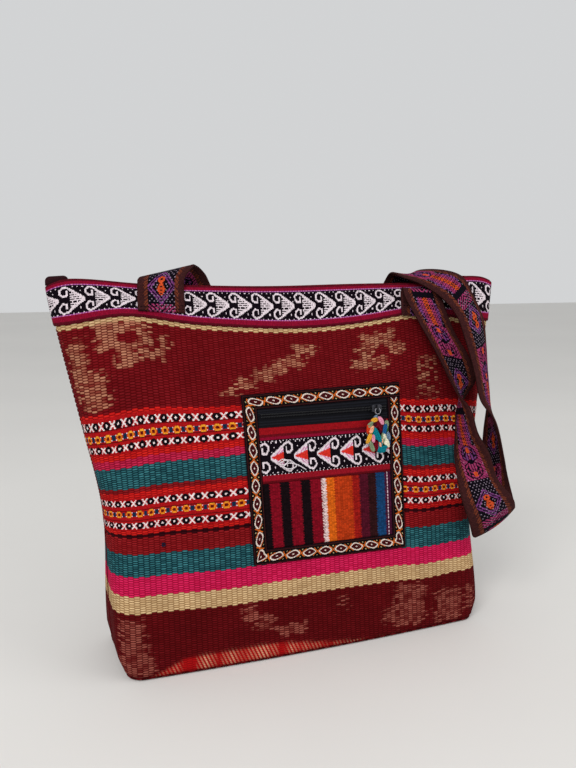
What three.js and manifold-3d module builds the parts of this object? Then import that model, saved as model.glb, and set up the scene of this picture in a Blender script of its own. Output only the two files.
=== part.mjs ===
// Woven shoulder tote bag with a zipped patch pocket.
// Millimetres. +X runs along the bag's front to the right, -Y is the front, +Z is up.
// The origin is the middle of the base, on the surface that the bag stands on.
import * as THREE from 'three';
import { mergeVertices } from 'three/addons/utils/BufferGeometryUtils.js';
import Module from 'manifold-3d';

// Bag body
const HEIGHT = 333;          // base to the lip of the mouth
const BASE_WIDTH = 354;      // across the boxed bottom
const TOP_WIDTH = 426;       // across the closed mouth
const BASE_DEPTH = 100;      // front to back at the boxed bottom
const MOUTH_DEPTH = 18;      // front to back at the closed mouth
const BELLY = 6;             // how far each panel swells at mid height
const WAIST = 11;            // how far each side draws in at mid height
const TUCK_IN = 5;           // how far each side draws in at the very bottom
const TOP_SHIFT = 7;         // the mouth hangs this far to the left of the base
const FRONT_BOW = 5;         // the bottom edge of each panel bows out by this much
const BASE_CORNER = 14;      // corner radius at the bottom
const SIDE_CORNER = 34;      // corner radius of the stuffed middle
const CLOTH = 2.4;           // thickness of the body cloth
const SEW_GAP = 0.3;         // clearance between two pieces that are sewn together
const SEAM_LINE = 125.5;     // height of the tuck that is stitched across each panel
const SEAM_SINK = 1.2;       // depth of that tuck

// Trim ribbon round the mouth
const TRIM_HEIGHT = 33.5;
const TRIM_THICK = 1.4;

// Mouth zip
const MOUTH_ZIP_DROP = 16;   // the zip runs straight, this far below the top of the cloth
const MOUTH_ZIP_END = 20;    // from the end of the zip to the side of the bag
const TAPE_THICK = 0.8;
const MOUTH_TAPE = 7.7;      // width of one half of the tape
const COIL_WIDTH = 1.85;     // width of one half of the coil
const COIL_HEIGHT = 1.8;
const COIL_INSET = 2;        // from the end of a coil to the end of its tape
const COIL_GAP = 0.3;        // between the two halves of a closed coil
const MOUTH_SLIDER_INSET = 30;  // closed slider, from the right end of the zip
const TAB_WIDTH = 13;        // end tab of the zip: its root stands in the left corner of the mouth
const TAB_RISE = 8;          // how far the tab stands above the top of the cloth
const TAB_ROOT = 10;         // how deep it reaches into the mouth
const TAB_OVER = 1.5;        // how far its head reaches past the side seam
const TAB_THICK = 3;

// Patch pocket, drawn in the X-Z plane and laid on the front panel
const POCKET_LEFT = -63;
const POCKET_RIGHT = 92.6;
const POCKET_BOTTOM = 85.7;
const POCKET_TOP = 239;
const POCKET_TOP_RISE = 4;      // the top edge climbs this much to the right
const POCKET_BOTTOM_FALL = 3;   // the bottom edge falls this much to the right
const BORDER_WIDTH = 13.5;
const BORDER_THICK = 1.5;
const POCKET_CLOTH = 1.1;
const POCKET_ZIP_Z = 218;
const POCKET_TAPE = 10.4;       // width of one half of the tape, coil included
const POCKET_BAND = 49;         // woven band under the zip
const SLIDER_X = 66;            // closed slider

// Sliders, shared by both zips
const SLIDER_LENGTH = 10;
const SLIDER_WALL = 1.1;
const SLIDER_CLEAR = 0.35;
const BAIL_HEIGHT = 2.6;
const BAIL_LENGTH = 6.4;
const BAIL_BAR = 1.0;
const BAIL_THICK = 1.6;
const EYE_FLOOR = 0.1;         // the bail's eye starts this far over the slider's roof
const RING_WIRE = 0.55;

// Pulls
const PULL_LENGTH = 23;
const PULL_WIDTH = 5;
const PULL_THICK = 0.9;
const PULL_BAR = 0.9;          // end bar, which turns inside the bail
const PULL_WINDOW = 5.2;       // length of the window behind that bar
const PULL_RIM = 1;            // plate left on each side of the window
const TASSEL_LENGTH = 37;
const TASSEL_WIDTH = 27;
const TASSEL_KNOT = 3.6;       // radius of the knot at its top
const TASSEL_LAYER = 2.4;      // the loops lie in three layers, this far apart
const YARN_RADIUS = 2.1;
const TASSEL_LOOPS = 9;
const TASSEL_LIFT = 2;         // the tassel hangs this much further out than the ring

// Shoulder straps
const STRAP_WIDTH = 40;
const STRAP_THICK = 2;
const STRAP_SPREAD = 124;    // from the middle of the mouth to the middle of a sewn end
const STRAP_SEWN = 28;       // length of strap that is stitched to the trim
const STRAP_CLEAR = 0.5;     // between the trim and a strap that is sewn to it
const STRAP_STEPS = 4;       // slices between two stations of a strap

const FRONT = -1;
const BACK = 1;
const mouthCentre = -TOP_SHIFT + 1.5;

const clamp01 = (t) => Math.min(1, Math.max(0, t));
const ease = (a, b, x) => {
  const t = clamp01((x - a) / (b - a));
  return t * t * (3 - 2 * t);
};
const hump = (x, middle, spread) => Math.exp(-(((x - middle) / spread) ** 2));
const vec = (x, y, z) => new THREE.Vector3(x, y, z);

// Horizontal section of the bag at height v: a rounded rectangle that thins to the flat mouth.
function section(v) {
  const t = clamp01(v / HEIGHT);
  const depth = BASE_DEPTH / 2 + ((MOUTH_DEPTH - BASE_DEPTH) / 2) * t + BELLY * Math.sin(Math.PI * t);
  const corner = BASE_CORNER + (SIDE_CORNER - BASE_CORNER) * ease(0, 0.36, t);
  const radius = Math.min(0.92 * depth, corner);
  const draw = WAIST * Math.sin(Math.PI * t) ** 2 + TUCK_IN * (1 - ease(0, 0.066, t));
  const half = BASE_WIDTH / 2 + ((TOP_WIDTH - BASE_WIDTH) / 2) * t - draw;
  const flat = half - radius;
  const arc = (Math.PI / 2) * radius;
  return { depth, radius, half, flat, arc, run: flat + arc + depth - radius, t };
}

// The cloth droops towards the side seams and waves along the hem and the lip.
function wave(f, v) {
  const u = f * (TOP_WIDTH + 4) / 2;
  const t = v / HEIGHT;
  const spread = t < 0.615 ? 0.255 : 0.165;
  const droop = -16 * hump(t, 0.615, spread) * Math.abs(f) ** 2.6;
  const hem = 8.5 * hump(u, -152, 42) + 5 * hump(u, 118, 38) - 6 * hump(u, 0, 75) - 4 * hump(u, 215, 40);
  const lip = 5.5 * hump(u, -190, 45) - 2 * hump(u, -20, 70) + 7 * hump(u, 183, 38) - 5 * hump(Math.abs(u), 215, 12);
  const hemShare = ease(0.6, 0.9, t) * (1 - ease(0.9, 1, t));
  const rightSag = -5 * ease(70, 140, u) * ease(0, 0.24, t) * (1 - ease(0.7, 0.9, t));
  return droop + hem * hemShare + lip * ease(0.89, 1, t) + rightSag;
}

// A point on a panel: f runs from -1 at the left side seam to 1 at the right one,
// v is the height up the cloth, off is the distance out from the cloth's outer face, tuck is the depth
// of the stitched tuck (0 for pieces that lie over it).
function onPanel(f, v, off = 0, side = FRONT, tuck = 0) {
  const s = section(v);
  const run = Math.abs(f) * s.run;
  const turn = Math.min(Math.max((run - s.flat) / s.radius, 0), Math.PI / 2);
  const past = Math.max(run - s.flat - s.arc, 0);
  const sign = f < 0 ? -1 : 1;
  const x = Math.min(run, s.flat) + s.radius * Math.sin(turn);
  const y = -s.depth + s.radius * (1 - Math.cos(turn)) + past;
  const bow = FRONT_BOW * Math.max(1 - s.t / 0.45, 0) ** 2 * (1 - (x / s.half) ** 2) * Math.cos(turn);
  const out = off - tuck * hump(v, SEAM_LINE, 2.5);
  const shift = -TOP_SHIFT * ease(0.42, 1, s.t);
  return vec(
    sign * (x + out * Math.sin(turn)) + shift,
    -side * (y - bow - out * Math.cos(turn)),
    v + wave(f, v),
  );
}

// The same, for a point given by where it is seen from the front.
function panelAt(x, z, off = 0, side = FRONT) {
  let f = x / (TOP_WIDTH / 2);
  let v = z;
  for (let i = 0; i < 8; i += 1) {
    const p = onPanel(f, v, 0, side);
    f = Math.min(0.97, Math.max(-0.97, f + (x - p.x) / section(v).run));
    v += z - p.z;
  }
  return onPanel(f, v, off, side);
}

const linspace = (a, b, count) => Array.from({ length: count + 1 }, (_, i) => a + ((b - a) * i) / count);

function volumeOf(position, index) {
  const a = new THREE.Vector3();
  const b = new THREE.Vector3();
  const c = new THREE.Vector3();
  let sum = 0;
  for (let i = 0; i < index.length; i += 3) {
    a.fromArray(position, index[i] * 3);
    b.fromArray(position, index[i + 1] * 3);
    c.fromArray(position, index[i + 2] * 3);
    sum += a.dot(b.cross(c));
  }
  return sum;
}

// Closed body from rings of points. Each ring is a closed loop, and the rings are joined in order.
// The first and last rings are capped by fans, or joined to each other where the body is a hoop.
// The far half of each ring is split along the other diagonal, so that a thin twisted band keeps its
// thickness.
function loft(rings, hoop = false) {
  const n = rings[0].length;
  const position = rings.flat().flatMap((p) => [p.x, p.y, p.z]);
  const index = [];
  const last = hoop ? rings.length : rings.length - 1;
  for (let i = 0; i < last; i += 1) {
    const a = i * n;
    const b = ((i + 1) % rings.length) * n;
    for (let j = 0; j < n; j += 1) {
      const k = (j + 1) % n;
      if (j < n / 2) index.push(a + j, a + k, b + k, a + j, b + k, b + j);
      else index.push(a + j, a + k, b + j, a + k, b + k, b + j);
    }
  }
  if (!hoop) {
    const end = (rings.length - 1) * n;
    for (let j = 1; j < n - 1; j += 1) {
      index.push(0, j + 1, j, end, end + j, end + j + 1);
    }
  }
  if (volumeOf(position, index) < 0) index.reverse();
  const geometry = new THREE.BufferGeometry();
  geometry.setAttribute('position', new THREE.Float32BufferAttribute(position, 3));
  geometry.setIndex(index);
  geometry.computeVertexNormals();
  return geometry;
}

// Closed slab between an outer and an inner sheet of points, both called with (column, row).
function slab(columns, rows, outer, inner) {
  const nc = columns.length;
  const nr = rows.length;
  const points = [];
  for (const sheet of [outer, inner]) {
    for (const row of rows) {
      for (const column of columns) points.push(sheet(column, row));
    }
  }
  const at = (layer, r, c) => layer * nr * nc + r * nc + c;
  const index = [];
  const quad = (a, b, c, d) => index.push(a, b, c, a, c, d);
  for (let r = 0; r < nr - 1; r += 1) {
    for (let c = 0; c < nc - 1; c += 1) {
      quad(at(0, r, c), at(0, r, c + 1), at(0, r + 1, c + 1), at(0, r + 1, c));
      quad(at(1, r, c), at(1, r + 1, c), at(1, r + 1, c + 1), at(1, r, c + 1));
    }
  }
  for (let c = 0; c < nc - 1; c += 1) {
    quad(at(0, 0, c), at(1, 0, c), at(1, 0, c + 1), at(0, 0, c + 1));
    quad(at(0, nr - 1, c), at(0, nr - 1, c + 1), at(1, nr - 1, c + 1), at(1, nr - 1, c));
  }
  for (let r = 0; r < nr - 1; r += 1) {
    quad(at(0, r, 0), at(0, r + 1, 0), at(1, r + 1, 0), at(1, r, 0));
    quad(at(0, r, nc - 1), at(1, r, nc - 1), at(1, r + 1, nc - 1), at(0, r + 1, nc - 1));
  }
  const position = points.flatMap((p) => [p.x, p.y, p.z]);
  if (volumeOf(position, index) < 0) index.reverse();
  const geometry = new THREE.BufferGeometry();
  geometry.setAttribute('position', new THREE.Float32BufferAttribute(position, 3));
  geometry.setIndex(index);
  geometry.computeVertexNormals();
  return geometry;
}

const wasm = await Module();
wasm.setup();

function toSolid(geometry) {
  const bare = geometry.clone();
  bare.deleteAttribute('normal');
  bare.deleteAttribute('uv');
  const merged = mergeVertices(bare, 1e-4);
  return new wasm.Manifold(new wasm.Mesh({
    numProp: 3,
    vertProperties: new Float32Array(merged.attributes.position.array),
    triVerts: new Uint32Array(merged.index.array),
  }));
}

function toGeometry(solid) {
  const mesh = solid.getMesh();
  const geometry = new THREE.BufferGeometry();
  geometry.setAttribute('position', new THREE.BufferAttribute(mesh.vertProperties, 3));
  geometry.setIndex(new THREE.BufferAttribute(mesh.triVerts, 1));
  geometry.computeVertexNormals();
  return geometry;
}

const bag = new THREE.Group();

function add(name, geometry, color, roughness = 0.95, metalness = 0) {
  const material = new THREE.MeshStandardMaterial({ color, roughness, metalness });
  const mesh = new THREE.Mesh(geometry, material);
  mesh.name = name;
  bag.add(mesh);
  return mesh;
}

// Columns crowd together round the corners, and the last one stops short of the side seam.
const seamInset = SEW_GAP / TOP_WIDTH;
const cornerColumns = linspace(0.66, 1 - seamInset, 8);
const flatColumns = linspace(-0.66, 0.66, 9).slice(1, -1);
const panelColumns = [...cornerColumns.map((f) => -f).reverse(), ...flatColumns, ...cornerColumns];

const trimBottom = HEIGHT - TRIM_HEIGHT;
const trimMiddle = HEIGHT - TRIM_HEIGHT / 2;
const wallBottom = CLOTH + SEW_GAP;
const panelRows = [
  wallBottom, 9, 20, 38, 56, 72, 90, 108, 121, SEAM_LINE, 130, 145, 162, 180, 199, 217, 234, 255, 277,
].map((v) => Math.min(v, trimBottom - 8));
panelRows.push(trimBottom, trimMiddle, HEIGHT);

// Body panels: one sheet of cloth each, front and back, sewn at the sides and to the base.
function bodyPanel(side) {
  return slab(
    panelColumns,
    panelRows,
    (f, v) => onPanel(f, v, 0, side, SEAM_SINK),
    (f, v) => onPanel(f, v, -CLOTH, side, SEAM_SINK),
  );
}
add('front_panel', bodyPanel(FRONT), 0x6e0c12);
add('back_panel', bodyPanel(BACK), 0x6e0c12);

// Base: the boxed bottom, a little rounded where it turns up into the walls.
function basePanel() {
  const outline = (v, off) => {
    const loop = [];
    for (const f of panelColumns) loop.push(onPanel(f, v, off, FRONT));
    for (const f of [...panelColumns].reverse()) loop.push(onPanel(f, v, off, BACK));
    return loop.map((p) => vec(p.x, p.y, 0));
  };
  const ring = (z, off) => outline(wallBottom, off).map((p) => vec(p.x, p.y, z));
  return loft([ring(0, -1.4), ring(0.7, -0.4), ring(CLOTH, 0)]);
}
add('base_panel', basePanel(), 0xa81414);

// Trim: a patterned woven ribbon stitched along the outside of the mouth.
function mouthTrim(side) {
  return slab(
    panelColumns,
    [trimBottom, trimMiddle, HEIGHT],
    (f, v) => onPanel(f, v, SEW_GAP + TRIM_THICK, side),
    (f, v) => onPanel(f, v, SEW_GAP, side),
  );
}
add('front_trim', mouthTrim(FRONT), 0x8a0c30);
add('back_trim', mouthTrim(BACK), 0x8a0c30);

// Mouth zip: two tapes bridge the mouth, and the coil halves meet along its middle line.
const mouthZipZ = HEIGHT - MOUTH_ZIP_DROP;
const zipLeft = -TOP_SHIFT - TOP_WIDTH / 2 + MOUTH_ZIP_END;
const zipRight = -TOP_SHIFT + TOP_WIDTH / 2 - MOUTH_ZIP_END;
const boxGeometry = (x0, x1, y0, y1, z0, z1) => {
  const geometry = new THREE.BoxGeometry(x1 - x0, y1 - y0, z1 - z0);
  return geometry.translate((x0 + x1) / 2, (y0 + y1) / 2, (z0 + z1) / 2);
};
for (const [word, side] of [['front', -1], ['back', 1]]) {
  const inner = (side * COIL_GAP) / 2;
  const tapeEdge = inner + side * MOUTH_TAPE;
  const coilEdge = inner + side * COIL_WIDTH;
  const tapeTop = mouthZipZ + TAPE_THICK;
  const coilFoot = tapeTop + SEW_GAP;
  const low = Math.min(inner, tapeEdge);
  const high = Math.max(inner, tapeEdge);
  const tape = boxGeometry(zipLeft, zipRight, low, high, mouthZipZ, tapeTop);
  add(`mouth_zip_tape_${word}`, tape, 0x17181c);
  const coilLow = Math.min(inner, coilEdge);
  const coilHigh = Math.max(inner, coilEdge);
  const coil = boxGeometry(zipLeft + COIL_INSET, zipRight - COIL_INSET, coilLow, coilHigh, coilFoot, coilFoot + COIL_HEIGHT);
  add(`mouth_zip_coil_${word}`, coil, 0x24262c, 0.5);
}

// End tab: the folded tail of the zip. Its root is tucked into the left corner of the mouth, and its
// head lies over the lip there.
function mouthTab() {
  const corner = -TOP_SHIFT - TOP_WIDTH / 2;
  const rootLeft = corner + CLOTH + 5 * SEW_GAP;
  const rootRight = rootLeft + TAB_WIDTH;
  const headLeft = corner - TAB_OVER;
  const ledge = HEIGHT + wave(-1, HEIGHT) + 3 * SEW_GAP;
  const floor = HEIGHT - TAB_ROOT;
  const top = HEIGHT + TAB_RISE;
  const round = (top - ledge) / 2;
  const shape = new THREE.Shape();
  shape.moveTo(rootLeft + CLOTH, floor);
  shape.lineTo(rootRight, floor);
  shape.lineTo(rootRight, top - round);
  shape.quadraticCurveTo(rootRight, top, rootRight - round, top);
  shape.lineTo(headLeft + 2 * round, top - 1);
  shape.quadraticCurveTo(headLeft, top - round / 2, headLeft, ledge + round / 2);
  shape.lineTo(headLeft, ledge);
  shape.lineTo(rootLeft, ledge);
  shape.closePath();
  const geometry = new THREE.ExtrudeGeometry(shape, { depth: TAB_THICK, bevelEnabled: false, curveSegments: 5 });
  return geometry.rotateX(Math.PI / 2).translate(0, TAB_THICK / 2, 0);
}
add('mouth_zip_end_tab', mouthTab(), 0x3a1a20);

// Slider in its own frame: X along the zip, Z out of it. It straddles the coil like a saddle,
// with an arched bail on top that the pull hangs from, along the zip or turned across it.
const coilPair = 2 * COIL_WIDTH + COIL_GAP;
const sliderWidth = coilPair + 2 * (SLIDER_CLEAR + SLIDER_WALL);
const sliderRoof = COIL_HEIGHT + SLIDER_CLEAR;
const sliderTop = sliderRoof + SLIDER_WALL;
function slider(bailTurn) {
  const half = SLIDER_LENGTH / 2;
  const plan = new THREE.Shape();
  plan.moveTo(-half, -sliderWidth / 2 + 1);
  plan.quadraticCurveTo(-half, -sliderWidth / 2, -half + 1.5, -sliderWidth / 2);
  plan.lineTo(half - 2.5, -sliderWidth / 2);
  plan.quadraticCurveTo(half, -sliderWidth / 2 + 0.6, half, -sliderWidth / 4);
  plan.lineTo(half, sliderWidth / 4);
  plan.quadraticCurveTo(half, sliderWidth / 2 - 0.6, half - 2.5, sliderWidth / 2);
  plan.lineTo(-half + 1.5, sliderWidth / 2);
  plan.quadraticCurveTo(-half, sliderWidth / 2, -half, sliderWidth / 2 - 1);
  plan.closePath();
  const body = new THREE.ExtrudeGeometry(plan, { depth: sliderTop, bevelEnabled: false, curveSegments: 3 });
  const channelHalf = coilPair / 2 + SLIDER_CLEAR;
  const channel = boxGeometry(-half - 1, half + 1, -channelHalf, channelHalf, -1, sliderRoof);
  const arch = new THREE.Shape();
  const foot = BAIL_LENGTH / 2;
  const rise = sliderTop + BAIL_HEIGHT;
  arch.moveTo(-foot, sliderTop - 0.4);
  arch.lineTo(foot, sliderTop - 0.4);
  arch.lineTo(foot, rise - 1);
  arch.quadraticCurveTo(foot, rise, foot - 1, rise);
  arch.lineTo(-foot + 1, rise);
  arch.quadraticCurveTo(-foot, rise, -foot, rise - 1);
  arch.closePath();
  const eye = new THREE.Path();
  eye.moveTo(-foot + BAIL_BAR, sliderTop + EYE_FLOOR);
  eye.lineTo(-foot + BAIL_BAR, rise - BAIL_BAR);
  eye.lineTo(foot - BAIL_BAR, rise - BAIL_BAR);
  eye.lineTo(foot - BAIL_BAR, sliderTop + EYE_FLOOR);
  eye.closePath();
  arch.holes.push(eye);
  const bail = new THREE.ExtrudeGeometry(arch, { depth: BAIL_THICK, bevelEnabled: false, curveSegments: 3 });
  bail.rotateX(Math.PI / 2).translate(0, BAIL_THICK / 2, 0).rotateZ(bailTurn);
  return toGeometry(toSolid(body).subtract(toSolid(channel)).add(toSolid(bail)));
}

// Hoop of wire or yarn through a closed loop of points.
function hoopTube(points, radius, steps, sides) {
  const curve = new THREE.CatmullRomCurve3(points, true);
  const rings = [];
  for (let i = 0; i < steps; i += 1) {
    const centre = curve.getPoint(i / steps);
    const along = curve.getTangent(i / steps);
    const flat = new THREE.Vector3().crossVectors(along, vec(0, 0, 1)).normalize();
    const up = new THREE.Vector3().crossVectors(flat, along).normalize();
    rings.push(Array.from({ length: sides }, (_, k) => {
      const angle = (2 * Math.PI * k) / sides;
      return centre.clone().addScaledVector(flat, radius * Math.cos(angle))
        .addScaledVector(up, radius * Math.sin(angle));
    }));
  }
  return loft(rings, true);
}

// Pull tab of the mouth zip, lying along +X from the bail that it turns in.
const bailEye = sliderTop + (BAIL_HEIGHT - BAIL_BAR + EYE_FLOOR) / 2;
function mouthPull() {
  const half = PULL_WIDTH / 2;
  const reach = PULL_LENGTH;
  const tail = -PULL_BAR / 2;
  const plan = new THREE.Shape();
  plan.moveTo(tail, -half + 0.6);
  plan.quadraticCurveTo(tail, -half, tail + 0.6, -half);
  plan.lineTo(reach - 2, -half);
  plan.quadraticCurveTo(reach, -half, reach, 0);
  plan.quadraticCurveTo(reach, half, reach - 2, half);
  plan.lineTo(tail + 0.6, half);
  plan.quadraticCurveTo(tail, half, tail, half - 0.6);
  plan.closePath();
  const plate = new THREE.ExtrudeGeometry(plan, { depth: PULL_THICK, bevelEnabled: false, curveSegments: 4 });
  plate.translate(0, 0, -PULL_THICK / 2);
  const near = PULL_BAR / 2;
  const side = half - PULL_RIM;
  const gap = boxGeometry(near, near + PULL_WINDOW, -side, side, -PULL_THICK, PULL_THICK);
  return toGeometry(toSolid(plate).subtract(toSolid(gap)));
}

const mouthSliderX = zipRight - MOUTH_SLIDER_INSET;
const mouthCoilFoot = mouthZipZ + TAPE_THICK + SEW_GAP;
const mouthSlider = add('mouth_zip_slider', slider(0), 0xa08a5a, 0.4, 0.9);
mouthSlider.position.set(mouthSliderX, 0, mouthCoilFoot);
const mouthPullMesh = add('mouth_zip_pull', mouthPull(), 0xa08a5a, 0.4, 0.9);
mouthPullMesh.position.set(mouthSliderX, 0, mouthCoilFoot + bailEye);

// Pocket outline: share a runs 0 to 1 left to right, share b runs 0 to 1 bottom to top.
function pocketPoint(a, b) {
  const x = POCKET_LEFT + (POCKET_RIGHT - POCKET_LEFT) * a + (1 - b) * (1 - a) * 4 - b * (1 - a) * 1;
  const low = POCKET_BOTTOM + POCKET_BOTTOM_FALL * (0.5 - a);
  const high = POCKET_TOP + POCKET_TOP_RISE * (a - 0.5);
  return { x, z: low + (high - low) * b };
}

// Border: one ribbon that runs round the pocket from its top right corner, folded at the other three.
function pocketBorder() {
  const width = POCKET_RIGHT - POCKET_LEFT;
  const height = POCKET_TOP - POCKET_BOTTOM;
  const wa = BORDER_WIDTH / width;
  const wb = BORDER_WIDTH / height;
  const cut = SEW_GAP / height;
  const stations = [];
  const run = (from, to, count) => {
    for (let i = 0; i <= count; i += 1) {
      const k = i / count;
      const mix = (p, q) => [p[0] + (q[0] - p[0]) * k, p[1] + (q[1] - p[1]) * k];
      stations.push([mix(from[0], to[0]), mix(from[1], to[1])]);
    }
  };
  run([[1, 1], [1, 1 - wb]], [[0, 1], [wa, 1 - wb]], 7);
  stations.pop();
  run([[0, 1], [wa, 1 - wb]], [[0, 0], [wa, wb]], 9);
  stations.pop();
  run([[0, 0], [wa, wb]], [[1, 0], [1 - wa, wb]], 7);
  stations.pop();
  run([[1, 0], [1 - wa, wb]], [[1, 1 - wb - cut], [1 - wa, 1 - wb - cut]], 9);
  const place = ([a, b], off) => {
    const p = pocketPoint(a, b);
    return panelAt(p.x, p.z, off);
  };
  const top = SEW_GAP + BORDER_THICK;
  return loft(stations.map(([outer, inner]) => [
    place(outer, SEW_GAP), place(outer, top), place(inner, top), place(inner, SEW_GAP),
  ]));
}
add('pocket_border', pocketBorder(), 0x1c1214);

// Pocket face: flat pieces between the inner edges of the border, from the bottom up.
const borderShareX = BORDER_WIDTH / (POCKET_RIGHT - POCKET_LEFT);
const borderShareZ = BORDER_WIDTH / (POCKET_TOP - POCKET_BOTTOM);
function pocketEdges(z) {
  const b = (z - POCKET_BOTTOM) / (POCKET_TOP - POCKET_BOTTOM);
  const left = pocketPoint(borderShareX, b).x + SEW_GAP;
  const right = pocketPoint(1 - borderShareX, b).x - SEW_GAP;
  return [left, right];
}
function pocketPiece(lowAt, highAt, rows, offLow, offHigh) {
  const columns = linspace(0, 1, 6);
  const place = (k, share, off) => {
    const z = lowAt(k) + (highAt(k) - lowAt(k)) * share;
    const [left, right] = pocketEdges(z);
    return panelAt(left + (right - left) * k, z, off);
  };
  return slab(
    columns,
    linspace(0, 1, rows),
    (k, share) => place(k, share, offHigh),
    (k, share) => place(k, share, offLow),
  );
}
const faceOff = SEW_GAP + POCKET_CLOTH;
const level = (z) => () => z;
const floorLine = (k) => pocketPoint(borderShareX + k * (1 - 2 * borderShareX), borderShareZ).z + SEW_GAP;
const ceilingLine = (k) => pocketPoint(borderShareX + k * (1 - 2 * borderShareX), 1 - borderShareZ).z - SEW_GAP;
const tapeLow = POCKET_ZIP_Z - COIL_GAP / 2 - POCKET_TAPE;
const bandLow = tapeLow - SEW_GAP - POCKET_BAND;
const tapeOff = SEW_GAP + TAPE_THICK;
const pocketCloth = pocketPiece(floorLine, level(bandLow - SEW_GAP), 3, SEW_GAP, faceOff);
add('pocket_striped_cloth', pocketCloth, 0xb02a1c);
const pocketBand = pocketPiece(level(bandLow), level(tapeLow - SEW_GAP), 3, SEW_GAP, faceOff);
add('pocket_woven_band', pocketBand, 0x8f1024);
const lowTape = pocketPiece(level(tapeLow), level(POCKET_ZIP_Z - COIL_GAP / 2), 1, SEW_GAP, tapeOff);
add('pocket_zip_tape_lower', lowTape, 0x15171b);
const highTape = pocketPiece(level(POCKET_ZIP_Z + COIL_GAP / 2), ceilingLine, 1, SEW_GAP, tapeOff);
add('pocket_zip_tape_upper', highTape, 0x15171b);

// Frame of the pocket slider: X along the zip, Z straight out of the panel.
const [coilLeft, coilRight] = pocketEdges(POCKET_ZIP_Z);
const coilOff = tapeOff + SEW_GAP;
const coilY = Math.min(...linspace(coilLeft, coilRight, 4).map((x) => panelAt(x, POCKET_ZIP_Z, coilOff).y));
const pocketOrigin = vec(SLIDER_X, coilY, POCKET_ZIP_Z);
const pocketUp = panelAt(SLIDER_X, POCKET_ZIP_Z + 8).sub(panelAt(SLIDER_X, POCKET_ZIP_Z - 8)).setX(0).normalize();
const pocketNormal = new THREE.Vector3().crossVectors(vec(1, 0, 0), pocketUp).normalize();
const pocketFrame = new THREE.Group();
pocketFrame.matrix.makeBasis(vec(1, 0, 0), pocketUp, pocketNormal).setPosition(pocketOrigin);
pocketFrame.matrix.decompose(pocketFrame.position, pocketFrame.quaternion, pocketFrame.scale);
bag.add(pocketFrame);

// Pocket coil: a straight bar per half, over the tape's edge.
for (const [word, side] of [['lower', -1], ['upper', 1]]) {
  const near = (side * COIL_GAP) / 2;
  const far = near + side * COIL_WIDTH;
  const bar = boxGeometry(
    coilLeft + COIL_INSET - SLIDER_X,
    coilRight - COIL_INSET - SLIDER_X,
    Math.min(near, far),
    Math.max(near, far),
    0,
    COIL_HEIGHT,
  );
  pocketFrame.add(add(`pocket_zip_coil_${word}`, bar, 0x24262c, 0.5));
}
pocketFrame.add(add('pocket_zip_slider', slider(Math.PI / 2), 0x3a3a40, 0.4, 0.8));

// Split ring: it lies flat over the slider, through the bail and round the bail's lower foot.
const ringCentre = -(BAIL_LENGTH - BAIL_BAR) / 2;
const ring = new THREE.TorusGeometry(-ringCentre, RING_WIRE, 6, 16);
const ringMesh = add('pocket_pull_ring', ring, 0x9a9a9e, 0.4, 0.9);
ringMesh.position.set(0, ringCentre, bailEye);
pocketFrame.add(ringMesh);

// Tassel: a pompon of yarn loops gathered under a knot, hung from the ring.
const tasselTop = 2 * ringCentre - RING_WIRE - SEW_GAP;
function tassel() {
  const knot = new THREE.SphereGeometry(TASSEL_KNOT, 8, 6).translate(0, -TASSEL_KNOT, 0);
  let body = toSolid(knot);
  const root = 0.7 * TASSEL_KNOT;
  const room = TASSEL_LENGTH - root - 0.7 * TASSEL_KNOT;
  for (let i = 0; i < TASSEL_LOOPS; i += 1) {
    const spread = ((i / (TASSEL_LOOPS - 1)) * 2 - 1) * 1.15;
    const long = room * (0.78 + 0.22 * Math.cos(2.3 * i));
    const layer = ((i % 3) - 1) * TASSEL_LAYER;
    const swing = Math.sin(spread) * 0.65 * (TASSEL_WIDTH / TASSEL_LENGTH / 0.73);
    const direction = vec(Math.sin(swing), -Math.cos(swing), 0);
    const across = vec(direction.y, -direction.x, 0);
    const fat = YARN_RADIUS * (1.6 + 0.6 * Math.sin(1.7 * i));
    const points = Array.from({ length: 8 }, (_, k) => {
      const angle = (Math.PI * k) / 4;
      const along = root + (long / 2) * (1 - Math.cos(angle));
      return direction.clone().multiplyScalar(along)
        .addScaledVector(across, fat * Math.sin(angle))
        .add(vec(0, 0, layer * clamp01((3 * along) / TASSEL_LENGTH)));
    });
    body = body.add(toSolid(hoopTube(points, YARN_RADIUS, 12, 5)));
  }
  return toGeometry(body);
}
const tasselMesh = add('pocket_tassel', tassel(), 0x2f7d86);
tasselMesh.position.set(0, tasselTop, bailEye + TASSEL_LIFT);
pocketFrame.add(tasselMesh);

// Strap: a flat band swept between its two edges. Each station gives one point on each edge.
function strap(stations) {
  const left = new THREE.CatmullRomCurve3(stations.map((s) => s[0]), false, 'centripetal');
  const right = new THREE.CatmullRomCurve3(stations.map((s) => s[1]), false, 'centripetal');
  const count = (stations.length - 1) * STRAP_STEPS;
  const rings = [];
  for (let i = 0; i <= count; i += 1) {
    const t = i / count;
    const a = left.getPoint(t);
    const b = right.getPoint(t);
    const across = b.clone().sub(a).normalize();
    const along = left.getTangent(t).add(right.getTangent(t)).normalize();
    const face = new THREE.Vector3().crossVectors(along, across).normalize().multiplyScalar(STRAP_THICK / 2);
    rings.push([a.clone().add(face), b.clone().add(face), b.clone().sub(face), a.clone().sub(face)]);
  }
  return loft(rings);
}

// The routes of the straps are drawn for a bag 333 mm high, and follow its height from there.
const routeScale = HEIGHT / 333;

// A strap point that hangs free: dx from the sewn end's middle, out from the panel's flat, drop below the lip.
function hanging(middle, side) {
  return (dx, out, drop) => {
    const z = HEIGHT - drop * routeScale;
    return vec(middle + dx * routeScale, side * (section(z).depth + out * routeScale), z);
  };
}
const strapOff = SEW_GAP + TRIM_THICK + STRAP_CLEAR + STRAP_THICK / 2;
const overStrap = strapOff + 3.6 * STRAP_THICK;
const halfStrap = STRAP_WIDTH / 2 / routeScale;

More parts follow.
